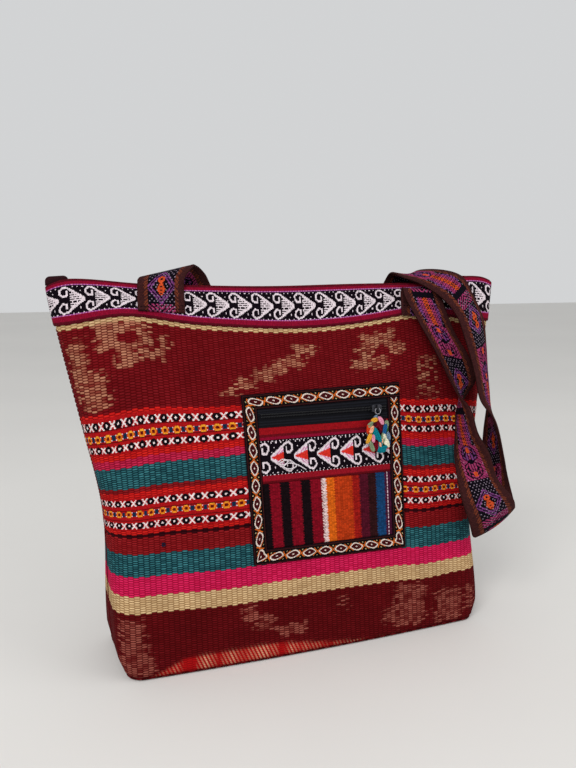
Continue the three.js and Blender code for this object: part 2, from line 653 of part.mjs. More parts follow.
// Front strap, from its left sewn end, up over the mouth and down the back, over the mouth again,
// down in front of the right corner to its fold, and up to its right sewn end, with a half twist in each run.
function frontStrap() {
  const leftEnd = mouthCentre - STRAP_SPREAD;
  const rightEnd = mouthCentre + STRAP_SPREAD;
  const at = (middle, dx, drop, off, side) => (
    panelAt(middle + dx * routeScale, HEIGHT - drop * routeScale, off, side)
  );
  const front = (middle, dx, drop, off = strapOff) => at(middle, dx, drop, off, FRONT);
  const back = (middle, dx, drop, off = overStrap) => at(middle, dx, drop, off, BACK);
  const r = hanging(rightEnd, FRONT);
  const l = hanging(leftEnd, FRONT);
  return strap([
    [front(leftEnd, halfStrap, 24), front(leftEnd, -halfStrap, 21)],
    [front(leftEnd, halfStrap, 12), front(leftEnd, -halfStrap, 10)],
    [l(20.5, 4.5, -5), l(-19.5, 4.5, -1)],
    [l(28, -2, -14), l(-18, -2, -5)],
    [l(36, -16, -16.5), l(-9, -16, -5.5)],
    [l(46, -24.5, -9), l(-2, -26, -0.5)],
    [back(leftEnd, 54, 4), back(leftEnd, 6, 15, overStrap + 1)],
    [back(leftEnd, 80, 24), back(leftEnd, 54, 54)],
    [back(leftEnd, 118, 40, strapOff + 2), back(leftEnd, 106, 78, strapOff + 2)],
    [back(rightEnd, -88, 43, strapOff + 2), back(rightEnd, -86, 83, strapOff + 2)],
    [back(rightEnd, -52, 34), back(rightEnd, -34, 66, overStrap + 5)],
    [back(rightEnd, -30, 15, overStrap + 1), back(rightEnd, 0, 42, overStrap + 2)],
    [back(rightEnd, -21, 1, overStrap + 1), back(rightEnd, 13, 18, overStrap + 2)],
    [r(-20, -17, -9.5), r(13, -27, -3)],
    [r(-17, 4.5, -6), r(12, -25, -10)],
    [r(-2, 10.5, 0), r(28, -14, -13)],
    [r(16, 19.5, 14), r(45.5, 8, -6.5)],
    [r(25, 28, 30), r(54, 13, 12)],
    [r(31, 30, 51), r(62, 15, 34)],
    [r(34, 33, 68), r(65, 12.5, 60)],
    [r(37, 34, 84), r(66, 10.5, 81.5)],
    [r(42, 33.5, 108), r(69, 6, 111)],
    [r(56, 33.5, 128), r(68, -1.5, 144)],
    [r(70, 26.5, 166), r(67, -7.5, 179)],
    [r(90, 8, 203), r(53, 3.5, 206)],
    [r(92.5, 11, 219), r(45, 10, 245)],
    [r(79, 27, 206), r(32, 22.5, 226)],
    [r(60, 30, 185), r(21, 23.5, 193)],
    [r(42, 42, 155), r(26, 8, 163)],
    [r(29, 44.5, 136), r(29, 7.5, 141)],
    [r(21, 46, 113), r(31, 8.5, 121)],
    [r(15, 38, 101), r(42, 12, 104)],
    [r(13, 28, 89), r(49, 14, 94)],
    [r(6, 18, 65), r(45, 15, 74)],
    [r(-10, 14.5, 34), r(29.5, 12.5, 45)],
    [r(-20, 11, 12), r(20, 11, 16)],
    [r(-21, 8.5, 4.5), r(19, 8.5, 7)],
    [front(rightEnd, -halfStrap, 9, strapOff + 1), front(rightEnd, halfStrap, 11, strapOff + 1)],
    [front(rightEnd, -halfStrap, 17), front(rightEnd, halfStrap, 19)],
    [front(rightEnd, -halfStrap, 30), front(rightEnd, halfStrap, 32)],
  ]);
}
add('front_strap', frontStrap(), 0x3c2224);

// Back strap: sewn to the back trim, folded over below the lip, and hanging down in a loop on edge.
function backStrap() {
  const folded = strapOff + STRAP_THICK * 2.4;
  const turning = (strapOff + folded) / 2;
  const half = [
    [[-20, strapOff, STRAP_SEWN + 2], [20, strapOff, STRAP_SEWN + 2]],
    [[-20, strapOff, 14], [20, strapOff, 14]],
    [[-20, strapOff + 0.3, 7], [20, strapOff + 0.3, 7]],
    [[-20, turning, 4.6], [20, turning, 4.6]],
    [[-20, folded, 7], [20, folded, 7]],
    [[-20, folded, 14], [20, folded, 14]],
    [[-20, folded + 0.4, 33], [20, folded, 33]],
    [[-17, 12, 60], [21, 8, 62]],
    [[-10, 25, 98], [21, 6.5, 101]],
    [[2, 36, 143], [23, 6.5, 141]],
    [[16, 38, 188], [32, 6.5, 175]],
    [[40, 40, 228], [52, 7, 208]],
    [[76, 38, 256], [82, 7, 232]],
  ];
  const place = (row, mirror) => row.map(([dx, out, drop]) => {
    const x = mouthCentre + mirror * (dx * routeScale - STRAP_SPREAD);
    return panelAt(x, HEIGHT - drop * routeScale, out * routeScale, BACK);
  });
  return strap([
    ...half.map((row) => place(row, 1)),
    place([[STRAP_SPREAD / routeScale, 38, 267], [STRAP_SPREAD / routeScale, 7, 241]], 1),
    ...half.map((row) => place(row, -1)).reverse(),
  ]);
}
add('back_strap', backStrap(), 0x3c2224);

export default bag;
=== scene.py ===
# %% [markdown]
# # A handwoven shoulder tote
# This lesson dresses a plain model of a woven tote bag. The bag is sewn from a striped blanket cloth,
# with a patterned ribbon round the mouth, a zipped patch pocket and two flat woven straps.
# We could model the bag anew, but the plain model already holds its size and its moving parts.
# So we read it first and note its size, and then lay finer cloth in the place of each plain piece.

# %% Frame and tools
import bmesh
import bpy
import numpy as np
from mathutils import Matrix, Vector


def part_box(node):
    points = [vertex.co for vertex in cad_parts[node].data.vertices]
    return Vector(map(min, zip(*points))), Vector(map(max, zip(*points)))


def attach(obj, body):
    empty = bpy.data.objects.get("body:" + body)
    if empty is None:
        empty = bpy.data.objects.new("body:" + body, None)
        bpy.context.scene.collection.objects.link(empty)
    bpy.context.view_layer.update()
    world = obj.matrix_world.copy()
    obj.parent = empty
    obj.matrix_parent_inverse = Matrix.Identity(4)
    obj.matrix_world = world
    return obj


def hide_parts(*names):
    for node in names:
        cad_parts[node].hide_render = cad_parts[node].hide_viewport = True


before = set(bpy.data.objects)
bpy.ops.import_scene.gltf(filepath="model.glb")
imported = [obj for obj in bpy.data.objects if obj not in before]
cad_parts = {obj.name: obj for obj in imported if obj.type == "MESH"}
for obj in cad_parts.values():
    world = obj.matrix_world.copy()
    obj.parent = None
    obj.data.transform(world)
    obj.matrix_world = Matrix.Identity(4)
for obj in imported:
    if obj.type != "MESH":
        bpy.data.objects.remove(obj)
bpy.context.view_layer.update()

MM = 0.001

# %% [markdown]
# ## The camera
# The camera comes first, because every later choice is judged through it. It stands a little left of
# the bag, just above the height of the mouth, and looks slightly down, as the photographer did.
# The place could be found by eye, but here it was worked out from the corners of the base and the
# height of the stripes. A lens of 35 mm gives the same gentle perspective as the photograph.

# %% Camera
CAMERA_PLACE = Vector((-0.252, -0.6469, 0.345))
CAMERA_LOOK = Vector((0.3463, 0.9261, -0.1495))
camera_data = bpy.data.cameras.new("Camera")
camera = bpy.data.objects.new("Camera", camera_data)
bpy.context.collection.objects.link(camera)
bpy.context.scene.camera = camera
camera.location = CAMERA_PLACE
camera.rotation_euler = CAMERA_LOOK.to_track_quat("-Z", "Y").to_euler()
camera_data.lens = 35.16
camera_data.sensor_width = 36
bpy.context.scene.view_settings.view_transform = "Standard"
print("camera at", tuple(CAMERA_PLACE))

# %% [markdown]
# ## The shape of the bag
# The real panels are soft cloth that is held in shape by what is sewn to it. They could be sculpted
# or draped, but every ribbon and pocket must then follow them by hand. Every piece of cloth lies on
# a panel, so one function describes it: it takes a place on the cloth and gives the point in space.
# A rounded rectangle thins out from the boxed bottom to the flat mouth, and soft waves bend the hem.

# %% Panel surface
# Sizes in millimetres, the same as in the plain model.
HEIGHT, BASE_WIDTH, TOP_WIDTH = 333, 354, 426
BASE_DEPTH, MOUTH_DEPTH = 100, 18
BELLY, WAIST, TUCK_IN, BOW, TOP_SHIFT = 6, 11, 5, 5, 7
BASE_CORNER, SIDE_CORNER = 14, 34
CLOTH, SEW_GAP, TRIM_HEIGHT = 2.4, 0.3, 33.5
SEAM_LINE, SEAM_SINK = 125.5, 1.2
FRONT, BACK = -1, 1


def ease(a, b, x):
    """A smooth step from 0 at a to 1 at b."""
    t = np.clip((x - a) / (b - a), 0, 1)
    return t * t * (3 - 2 * t)


def hump(x, middle, spread):
    """A soft bell of height 1."""
    return np.exp(-(((x - middle) / spread) ** 2))


def section(v):
    """The level cut through the bag at height v: its half depth, corner, half width and so on."""
    t = np.clip(v / HEIGHT, 0, 1)
    depth = BASE_DEPTH / 2 + (MOUTH_DEPTH - BASE_DEPTH) / 2 * t + BELLY * np.sin(np.pi * t)
    radius = np.minimum(0.92 * depth, BASE_CORNER + (SIDE_CORNER - BASE_CORNER) * ease(0, 0.36, t))
    draw = WAIST * np.sin(np.pi * t) ** 2 + TUCK_IN * (1 - ease(0, 0.066, t))
    half = BASE_WIDTH / 2 + (TOP_WIDTH - BASE_WIDTH) / 2 * t - draw
    flat = half - radius
    arc = np.pi / 2 * radius
    return depth, radius, half, flat, arc, flat + arc + depth - radius, t


print("half width and corner at the foot and the mouth:",
      [tuple(round(float(x), 1) for x in (section(v)[2], section(v)[1])) for v in (0, HEIGHT)])

# %% Waves of the cloth
def wave(f, v):
    """How far the cloth hangs up or down from its level line. Each hump is one wave of the hem."""
    u = f * (TOP_WIDTH + 4) / 2
    t = v / HEIGHT
    spread = np.where(t < 0.615, 0.255, 0.165)
    droop = -16 * hump(t, 0.615, spread) * np.abs(f) ** 2.6
    hem = 8.5 * hump(u, -152, 42) + 5 * hump(u, 118, 38) - 6 * hump(u, 0, 75) - 4 * hump(u, 215, 40)
    lip = 5.5 * hump(u, -190, 45) - 2 * hump(u, -20, 70) + 7 * hump(u, 183, 38) - 5 * hump(np.abs(u), 215, 12)
    share = ease(0.6, 0.9, t) * (1 - ease(0.9, 1, t))
    sag = -5 * ease(70, 140, u) * ease(0, 0.24, t) * (1 - ease(0.7, 0.9, t))
    return droop + hem * share + lip * ease(0.89, 1, t) + sag


print("the lip at its left end hangs by", round(float(wave(-1, HEIGHT)), 1), "mm")

# %% Points on a panel
def on_panel(f, v, off=0.0, side=FRONT):
    """The point at share f of the way to a side seam, height v and distance off from the cloth."""
    f, v, off = np.broadcast_arrays(np.asarray(f, float), np.asarray(v, float), np.asarray(off, float))
    depth, radius, half, flat, arc, total, t = section(v)
    run = np.abs(f) * total
    turn = np.clip((run - flat) / radius, 0, np.pi / 2)
    past = np.maximum(run - flat - arc, 0)
    sign = np.where(f < 0, -1, 1)
    x = np.minimum(run, flat) + radius * np.sin(turn)
    y = -depth + radius * (1 - np.cos(turn)) + past
    bow = BOW * np.maximum(1 - t / 0.45, 0) ** 2 * (1 - (x / half) ** 2) * np.cos(turn)
    shift = -TOP_SHIFT * ease(0.42, 1, t)
    return np.stack([
        sign * (x + off * np.sin(turn)) + shift,
        -side * (y - bow - off * np.cos(turn)),
        v + wave(f, v),
    ], axis=-1)


def panel_at(x, z, off=0.0, side=FRONT):
    """The same point, found from where it lies in space. A few steps close in on it."""
    x, z, off = np.broadcast_arrays(np.asarray(x, float), np.asarray(z, float), np.asarray(off, float))
    f, v = x / (TOP_WIDTH / 2), z.copy()
    for _ in range(8):
        p = on_panel(f, v, 0, side)
        f = np.clip(f + (x - p[..., 0]) / section(v)[5], -0.97, 0.97)
        v = v + z - p[..., 2]
    return on_panel(f, v, off, side)


def panel_u(f, v):
    """Millimetres across the cloth from its middle, for the share f of the way to the side seam."""
    return f * section(np.asarray(v, float))[5]


print("front panel, middle of the mouth:", on_panel(0, HEIGHT).round(1))

# %% [markdown]
# ## Colours and nodes
# Colours are written as the usual hex numbers and turned into the linear values that a renderer
# works with. A finish is a chain of nodes. They could be clicked together by hand in the shader
# editor, but a script can be read again, so one small function adds a node and links it.

# %% Colours and nodes
def linear(code):
    """The linear red, green and blue of a usual hex colour."""
    c = np.array([int(code[i:i + 2], 16) / 255 for i in (0, 2, 4)])
    return np.where(c <= 0.04045, c / 12.92, ((c + 0.055) / 1.055) ** 2.4)


def node(tree, kind, *values, output=None, **settings):
    """Adds a node with its settings. Each value goes to the next open input, as a link or as it is."""
    added = tree.nodes.new("ShaderNode" + kind)
    for key, setting in settings.items():
        setattr(added, key, setting)
    for socket, value in zip([s for s in added.inputs if s.enabled], values):
        if isinstance(value, bpy.types.NodeSocket):
            tree.links.new(value, socket)
        elif value is not None:
            socket.default_value = (*linear(value), 1) if isinstance(value, str) else value
    return added.outputs[output] if output else next(s for s in added.outputs if s.enabled)


def start(name, roughness, specular=0.05):
    """A new material with its node tree and main shader. Wool hardly shines, so specular is low."""
    material = bpy.data.materials.new(name)
    material.use_nodes = True
    tree = material.node_tree
    shader = tree.nodes["Principled BSDF"]
    shader.inputs["Roughness"].default_value = roughness
    shader.inputs["Specular IOR Level"].default_value = specular
    return material, tree, shader


def surface(tree, shader, colour, height, strength, depth):
    """Links a colour, and a height as a relief that is depth millimetres deep."""
    tree.links.new(colour, shader.inputs["Base Color"])
    relief = node(tree, "Bump", strength, depth * MM, None, height)
    tree.links.new(relief, shader.inputs["Normal"])


print("dark red wool as linear values:", linear("560408").round(4))

# %% [markdown]
# ## The weave
# The blanket cloth is weft faced: thick yarn lies in columns of short stitches, and each column sits
# half a stitch lower than the last one. A tiled picture could show that, but it would need an image.
# Here the shader works out the stitch from the place on the cloth in millimetres. Every stitch has
# its own chance value for its shade, and its rounded top is a small relief.

# %% Weave
def weave(tree, wide, tall):
    """Stitches of wide by tall millimetres on the UV map, with what a shader needs to know of each."""
    uv = node(tree, "UVMap", uv_map="mm")
    across = node(tree, "SeparateXYZ", uv, output="X")
    climb = across.node.outputs["Y"]
    u = node(tree, "Math", across, wide, operation="DIVIDE")
    column = node(tree, "Math", u, operation="FLOOR")
    odd = node(tree, "Math", column, 2.0, operation="FLOORED_MODULO")
    shift = node(tree, "Math", odd, 0.5, operation="MULTIPLY")
    v = node(tree, "Math", node(tree, "Math", climb, tall, operation="DIVIDE"), shift, operation="ADD")
    row = node(tree, "Math", v, operation="FLOOR")
    side = node(tree, "Math", node(tree, "Math", u, operation="FRACT"), 0.5, operation="SUBTRACT")
    up = node(tree, "Math", node(tree, "Math", v, operation="FRACT"), 0.5, operation="SUBTRACT")
    rounding = []
    for offset, power, factor in ((up, 2.0, 4.0), (side, 4.0, 9.0)):
        steep = node(tree, "Math", offset, power, operation="POWER")
        fall = node(tree, "Math", steep, factor, operation="MULTIPLY")
        rounding.append(node(tree, "Math", 1.0, fall, operation="SUBTRACT"))
    place = node(tree, "CombineXYZ", column, row)
    halfway = node(tree, "Math", node(tree, "Math", row, 0.5, operation="ADD"), shift, operation="SUBTRACT")
    return {
        "uv": uv, "u": across, "v": climb,
        "height": node(tree, "Math", *rounding, operation="MULTIPLY"),
        "chance": node(tree, "TexWhiteNoise", place, noise_dimensions="2D"),
        "middle": node(tree, "Math", halfway, tall, operation="MULTIPLY"),
    }


def stripe_ramp(tree, shade, place):
    """Colour of the stripe that a height on the cloth lies in: shade 0 is its dye, 1 its lightest."""
    share = node(tree, "Math", place, HEIGHT, operation="DIVIDE")
    colour = node(tree, "ValToRGB", share)
    ramp = colour.node.color_ramp
    ramp.interpolation = "CONSTANT"
    ramp.elements.remove(ramp.elements[1])
    for i, (at, dyes) in enumerate(STRIPES):
        stop = ramp.elements[0] if i == 0 else ramp.elements.new(at / HEIGHT)
        stop.color = (*linear(dyes[shade]), 1)
    return colour


# %% [markdown]
# ## The striped blanket cloth
# Each stripe has a dye and a lighter shade of it, which the rounded stitches mix by chance. Where a
# stitch stands up it gets more of the lighter shade, which is a painted highlight, and the gaps between
# stitches get painted shade. In ikat the yarn is tied off before dyeing, so the tied parts stay pale.
# The panels carry two values for this, worked out later: where the cloth is pale, and where the base
# cloth is turned up at the foot.

# %% Body cloth
# Each pair holds the dye of a stripe and its lightest stitches.
LOW_FIELD, FIELD, DEEP = ("460305", "5E0D12"), ("560408", "70141A"), ("64060A", "881C20")
SCARLET, PINK, CRIMSON = ("980A0E", "C8241C"), ("A60A36", "D0265A"), ("8E0A2A", "BC2A4C")
# The near-black pair at the tuck is painted shade in the crease of the stitched tuck.
TEAL, BEIGE, TUCK_PAINTED_SHADE = ("08262E", "38747A"), ("A07C54", "D2B488"), ("22030A", "38080C")
# The height at which each stripe starts.
STRIPES = [
    (0, LOW_FIELD), (56.5, BEIGE), (72, PINK), (89.5, TEAL), (109, DEEP), (124, TUCK_PAINTED_SHADE),
    (127, SCARLET), (165.5, DEEP), (169.5, TEAL), (189, CRIMSON), (196, SCARLET),
    (232, FIELD), (294.5, BEIGE), (299, DEEP),
]
# The real stitches are about 3.5 mm wide. They are drawn a little coarser, so that they show.
STITCH_WIDE, STITCH_TALL = 4.7, 2.0


def stitch_colour(tree, cell):
    """The dye of each stitch: its stripe, a little lighter by chance, and lighter where the yarn stands up as
    a painted highlight.
    """
    dye, light = (stripe_ramp(tree, shade, cell["middle"]) for shade in (0, 1))
    lucky = node(tree, "MapRange", cell["chance"], 0.0, 1.0, 0.35, 1.0)
    # Painted highlight: stitches that stand up get more of the lighter shade, as if they caught more light.
    raised = node(tree, "MapRange", cell["height"], 0.35, 1.0)
    lighter = node(tree, "Math", lucky, raised, operation="MULTIPLY")
    return node(tree, "Mix", lighter, dye, light, data_type="RGBA")


def ikat_over(tree, cell, base):
    """Tan stitches where the panel's ikat value is high, browner and duller towards the foot."""
    value = node(tree, "Attribute", attribute_name="ikat", output="Fac")
    luck = node(tree, "Math", cell["chance"], 0.7, operation="MULTIPLY")
    patch = node(tree, "MapRange", node(tree, "Math", value, luck, operation="ADD"), 0.72, 1.1, 0.0, 0.85)
    raised = node(tree, "MapRange", cell["height"], 0.25, 0.8)
    tan = node(tree, "Mix", cell["chance"], "864434", "AE7A5E", data_type="RGBA")
    brown = node(tree, "Mix", cell["chance"], "6E2A24", "925044", data_type="RGBA")
    high = node(tree, "MapRange", cell["v"], 70, 200)
    pale = node(tree, "Mix", high, brown, tan, data_type="RGBA")
    amount = node(tree, "Math", patch, raised, operation="MULTIPLY")
    return node(tree, "Mix", amount, base, pale, data_type="RGBA")


def turned_over(tree, cell, base):
    """The strip of base cloth: bright red, with slanting pale stitches in some places."""
    rise = node(tree, "Math", cell["v"], 0.45, operation="MULTIPLY")
    slant = node(tree, "Math", cell["u"], rise, operation="ADD")
    dash = node(tree, "MapRange", node(tree, "Math", slant, 1.7, operation="PINGPONG"), 0.7, 1.1)
    along = node(tree, "CombineXYZ", node(tree, "Math", cell["u"], 0.045, operation="MULTIPLY"))
    patchy = node(tree, "MapRange", node(tree, "TexNoise", along, 1.0, 2.0), 0.42, 0.6)
    stitched = node(tree, "Math", dash, patchy, operation="MULTIPLY")
    tint = node(tree, "Mix", stitched, "960C0E", "C08468", data_type="RGBA")
    turned = node(tree, "Attribute", attribute_name="turned", output="Fac")
    return node(tree, "Mix", turned, base, tint, data_type="RGBA")


print("size of a stitch:", STITCH_WIDE, "by", STITCH_TALL, "mm")

# %% Striped wool
def body_cloth():
    """Handwoven sheep's wool, weft faced. The eye gets soft matt ribs of short rounded stitches, with painted
    shade between them.
    """
    material, tree, shader = start("Handwoven wool, striped", 0.95)
    cell = weave(tree, STITCH_WIDE, STITCH_TALL)
    cloth = turned_over(tree, cell, ikat_over(tree, cell, stitch_colour(tree, cell)))
    # Painted shade: the colour is darker where a stitch is low, in the gaps between stitches, and a little
    # lighter on its crown.
    shade = node(tree, "MapRange", cell["height"], 0.0, 0.8, 0.62, 1.08)
    mottle = node(tree, "MapRange", node(tree, "TexNoise", cell["uv"], 0.035, 2.0), 0.3, 0.7, 0.88, 1.1)
    # depth is this painted shade times the slow mottle of the cloth.
    depth = node(tree, "Math", shade, mottle, operation="MULTIPLY")
    colour = node(tree, "VectorMath", cloth, depth, operation="SCALE")
    surface(tree, shader, colour, cell["height"], 0.8, 0.5)
    return material


BODY_CLOTH = body_cloth()
print("stripes on the body cloth:", len(STRIPES))

# %% [markdown]
# ## Patterned cloth, yarn and metal
# The ribbons and bands are finer. Their pattern is worked out thread by thread in the mesh and stored
# as a colour on each face, so the shader only adds the threads' own relief, a random tone and painted
# shade between the threads. Plied yarn gets slanting grooves, darkened with painted shade. Metal and
# plastic get faint clouds of wear, which are a little rougher.

# %% Other finishes
def painted_cloth(name, wide=0.82, tall=0.95, roughness=0.9, depth=0.22, contrast=0.22):
    """Fine cloth of wide by tall millimetre threads, coloured by the paint on its faces, with painted shade
    between the threads.
    """
    material, tree, shader = start(name, roughness)
    cell = weave(tree, wide, tall)
    # Painted shade: the colour is darker where a thread is low, between threads, and a little lighter on its
    # top.
    shade = node(tree, "MapRange", cell["height"], 0.0, 0.9, 1 - 1.6 * contrast, 1 + 0.3 * contrast)
    spread = node(tree, "MapRange", cell["chance"], 0.0, 1.0, 1 - contrast, 1 + contrast)
    # amount is this painted shade times the random tone of each thread.
    amount = node(tree, "Math", shade, spread, operation="MULTIPLY")
    paint = node(tree, "Attribute", attribute_name="paint", output="Color")
    colour = node(tree, "VectorMath", paint, amount, operation="SCALE")
    surface(tree, shader, colour, cell["height"], 0.6, depth)
    return material


def plied(name):
    """Two strands wound round each other, with a groove between them every 1.8 mm that is darkened with
    painted shade.
    """
    material, tree, shader = start(name, 0.95)
    uv = node(tree, "UVMap", uv_map="mm")
    along = node(tree, "SeparateXYZ", uv, output="X")
    lean = node(tree, "Math", along.node.outputs["Y"], 0.8, operation="MULTIPLY")
    winding = node(tree, "Math", along, lean, operation="ADD")
    groove = node(tree, "Math", winding, 0.9, operation="PINGPONG")
    height = node(tree, "MapRange", groove, 0.0, 0.55)
    paint = node(tree, "Attribute", attribute_name="paint", output="Color")
    # Painted shade: the colour is darker down in the groove and a little lighter on the strands.
    shade = node(tree, "MapRange", height, 0.0, 1.0, 0.55, 1.08)
    surface(tree, shader, node(tree, "VectorMath", paint, shade, operation="SCALE"), height, 0.7, 0.35)
    return material


def worn(name, code, lighter, roughness, metallic, scale):
    """Metal, plastic or paper with faint clouds of wear. scale is clouds to the millimetre."""
    material, tree, shader = start(name, roughness, 0.5)
    place = node(tree, "TexCoord", output="Object")
    cloud = node(tree, "MapRange", node(tree, "TexNoise", place, scale / MM, 4.0), 0.35, 0.7)
    rougher = node(tree, "MapRange", cloud, 0.0, 1.0, roughness, roughness + 0.2)
    tree.links.new(rougher, shader.inputs["Roughness"])
    shader.inputs["Metallic"].default_value = metallic
    colour = node(tree, "Mix", cloud, code, lighter, data_type="RGBA")
    surface(tree, shader, colour, node(tree, "TexNoise", place, 2.5 * scale / MM, 2.0), 0.15, 0.1)
    return material


# %% Finishes of this bag
# Pattern threads of wool that float on the cloth: crisp motifs on a finely ribbed ground.
BAND_CLOTH = painted_cloth("Woven wool, pattern threads", 0.9, 0.9, 0.92, 0.3)
# A tight cotton ribbon: flat and even, with fine threads.
RIBBON = painted_cloth("Woven ribbon, cotton")
# A stiff wool band, woven on a narrow loom: dull and slightly ribbed.
STRAP_BAND = painted_cloth("Woven strap band, wool", 0.9, 1.1, 0.92, 0.3, 0.26)
# Thick soft wool: broad ribs, and fuzzy borders between its stripes.
POCKET_WOOL = painted_cloth("Pocket wool, weft faced", 2.4, 1.2, 0.95, 0.4, 0.3)
# Knitted polyester tape: smoother than the wool, so it has a faint sheen.
ZIP_TAPE = painted_cloth("Zip tape, polyester", 0.7, 0.9, 0.75, 0.12, 0.15)
# Spun wool, plied from two strands: matt, with grooves that wind along it.
YARN = plied("Wool yarn, plied")
# Spun cotton: the same winding grooves on a thin line.
THREAD = plied("Sewing thread, cotton")
# Drawn nylon wire, bent into a coil: black, with a soft shine.
NYLON = worn("Nylon coil, black", "0B0B0E", "17171C", 0.45, 0.0, 0.3)
# Cast brass, dulled by hands: warm, with cloudy highlights.
BRASS = worn("Brass, aged", "8C7444", "B89A5C", 0.3, 1.0, 0.25)
# Cast zinc with baked enamel: nearly black, with metal gleaming through.
DARK_METAL = worn("Zinc, dark enamel", "141519", "3A3A42", 0.35, 0.5, 0.3)
# Bent steel wire, plated: a small cold glint.
NICKEL = worn("Steel wire, nickel plated", "8E8E94", "B8B8BE", 0.25, 1.0, 0.4)
print("materials:", len(bpy.data.materials))

# %% [markdown]
# ## From points to a piece
# Each cloth and yarn is built point by point. A plain plane, cut and bent with tools, is the usual
# start, but a weaver's pattern needs one colour for each thread crossing, so the grid comes first.
# This function makes the mesh, stores its map in millimetres and its colours, and turns its faces
# outwards by the sign of its volume. Then it ties the piece to the part of the bag that carries it.

# %% Mesh
def finish_mesh(name, points, faces, uv, colours, material, body="bag"):
    """colours holds one row for each corner of the first faces, and a last row for all the rest."""
    mesh = bpy.data.meshes.new(name)
    mesh.from_pydata((points * MM).tolist(), [], faces)
    corner = np.empty(len(mesh.loops), dtype=np.int32)
    mesh.loops.foreach_get("vertex_index", corner)
    layer = mesh.uv_layers.new(name="mm")
    layer.data.foreach_set("uv", uv[corner].ravel().astype(np.float32))
    if colours is not None:
        paint = np.ones((len(mesh.loops), 4))
        paint[:, :3] = colours[-1]
        paint[: len(colours) - 1, :3] = colours[:-1]
        spots = mesh.color_attributes.new("paint", "BYTE_COLOR", "CORNER")
        spots.data.foreach_set("color", paint.ravel().astype(np.float32))
    inside = bmesh.new()
    inside.from_mesh(mesh)
    if inside.calc_volume(signed=True) < 0:
        bmesh.ops.reverse_faces(inside, faces=inside.faces)
        inside.to_mesh(mesh)
    inside.free()
    mesh.polygons.foreach_set("use_smooth", np.ones(len(mesh.polygons), dtype=bool))
    mesh.materials.append(material)
    obj = bpy.data.objects.new(name, mesh)
    bpy.context.collection.objects.link(obj)
    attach(obj, body)
    return obj


def palette(**codes):
    """Named colours, ready to be given to faces."""
    return {key: linear(code) for key, code in codes.items()}


def steps(a, b, size):
    """Even stations from a to b, about size apart."""
    return np.linspace(a, b, max(2, int(round((b - a) / size)) + 1))


print("stations of a 10 mm ribbon:", len(steps(0, 10, 0.8)))

# %% [markdown]
# ## Woven sheets
# A woven piece is a thin closed sheet: a fine grid on the outside, which carries the pattern, and a
# coarser grid behind it. Solidify could give a plane its thickness, but it would copy every small
# face to the back, where nobody sees the pattern. The edge of the sheet is a little rounded.

# %% Sheets
EDGE_SHARE = 0.45   # the rim of the outside lies at this share of the thickness
BACK_ROWS = 6       # the hidden back keeps one row in so many


def grid_faces(rows, columns, first):
    """The corners of each face of a grid whose points start at number first."""
    r, c = np.meshgrid(np.arange(rows - 1), np.arange(columns - 1), indexing="ij")
    a = first + r * columns + c
    return np.stack([a, a + 1, a + columns + 1, a + columns], axis=-1).reshape(-1, 4)


def sheet_faces(nr, nc, keep):
    """Faces of the outside, of the back, which keeps fewer rows, and of the sides between them."""
    first = nr * nc
    faces = grid_faces(nr, nc, 0).tolist()
    faces += grid_faces(len(keep), nc, first)[:, [1, 0, 3, 2]].tolist()
    last_row, last_back = (nr - 1) * nc, first + (len(keep) - 1) * nc
    for c in range(nc - 1):
        faces.append([c, first + c, first + c + 1, c + 1])
        faces.append([last_row + c, last_row + c + 1, last_back + c + 1, last_back + c])
    for k in range(len(keep) - 1):
        a, b = first + k * nc, first + (k + 1) * nc
        climb = [r * nc for r in range(keep[k], keep[k + 1] + 1)]
        faces.append([a] + climb + [b])
        faces.append([b + nc - 1] + [r + nc - 1 for r in reversed(climb)] + [a + nc - 1])
    return faces


def lay(name, columns, rows, place, low, high, material, paint=None, under=None, rim="3A1418", uv=None):
    """Cloth over a grid. place(column, row, off) gives its points, paint and under colour its faces."""
    S, V = np.meshgrid(columns, rows)
    off = np.full(S.shape, float(high))
    off[0, :] = off[-1, :] = off[:, 0] = off[:, -1] = low + (high - low) * EDGE_SHARE
    keep = list(range(0, len(rows) - 1, 1 if under else BACK_ROWS)) + [len(rows) - 1]
    Sb, Vb = S[keep], V[keep]
    outer = place(S, V, off).reshape(-1, 3)
    inner = place(Sb, Vb, np.full(Sb.shape, float(low))).reshape(-1, 3)
    maps = [np.stack(uv(s, v) if uv else (s, v), axis=-1).reshape(-1, 2) for s, v in ((S, V), (Sb, Vb))]
    colours = None
    if paint:
        Sc = (S[:-1, :-1] + S[1:, 1:]).ravel() / 2
        Vc = (V[:-1, :-1] + V[1:, 1:]).ravel() / 2
        sides = [np.repeat(side(Sc, Vc), 4, axis=0) for side in (paint, under) if side]
        colours = np.vstack(sides + [linear(rim)[None]])
    faces = sheet_faces(len(rows), len(columns), keep)
    return finish_mesh(name, np.vstack([outer, inner]), faces, np.vstack(maps), colours, material)


print("faces of a sheet of 9 by 9 points:", len(sheet_faces(9, 9, [0, 6, 8])))

# %% [markdown]
# ## Yarn and thread
# Yarn, stitches and zip coils are tubes round a line of points. A curve object with a round bevel
# gives the same, but it can't colour each yarn by itself or keep hundreds of them in one mesh.

# %% Tubes
def run_along(points):
    """The length of a line of points, up to each of them."""
    return np.concatenate([[0], np.cumsum(np.linalg.norm(np.diff(points, axis=0), axis=1))])


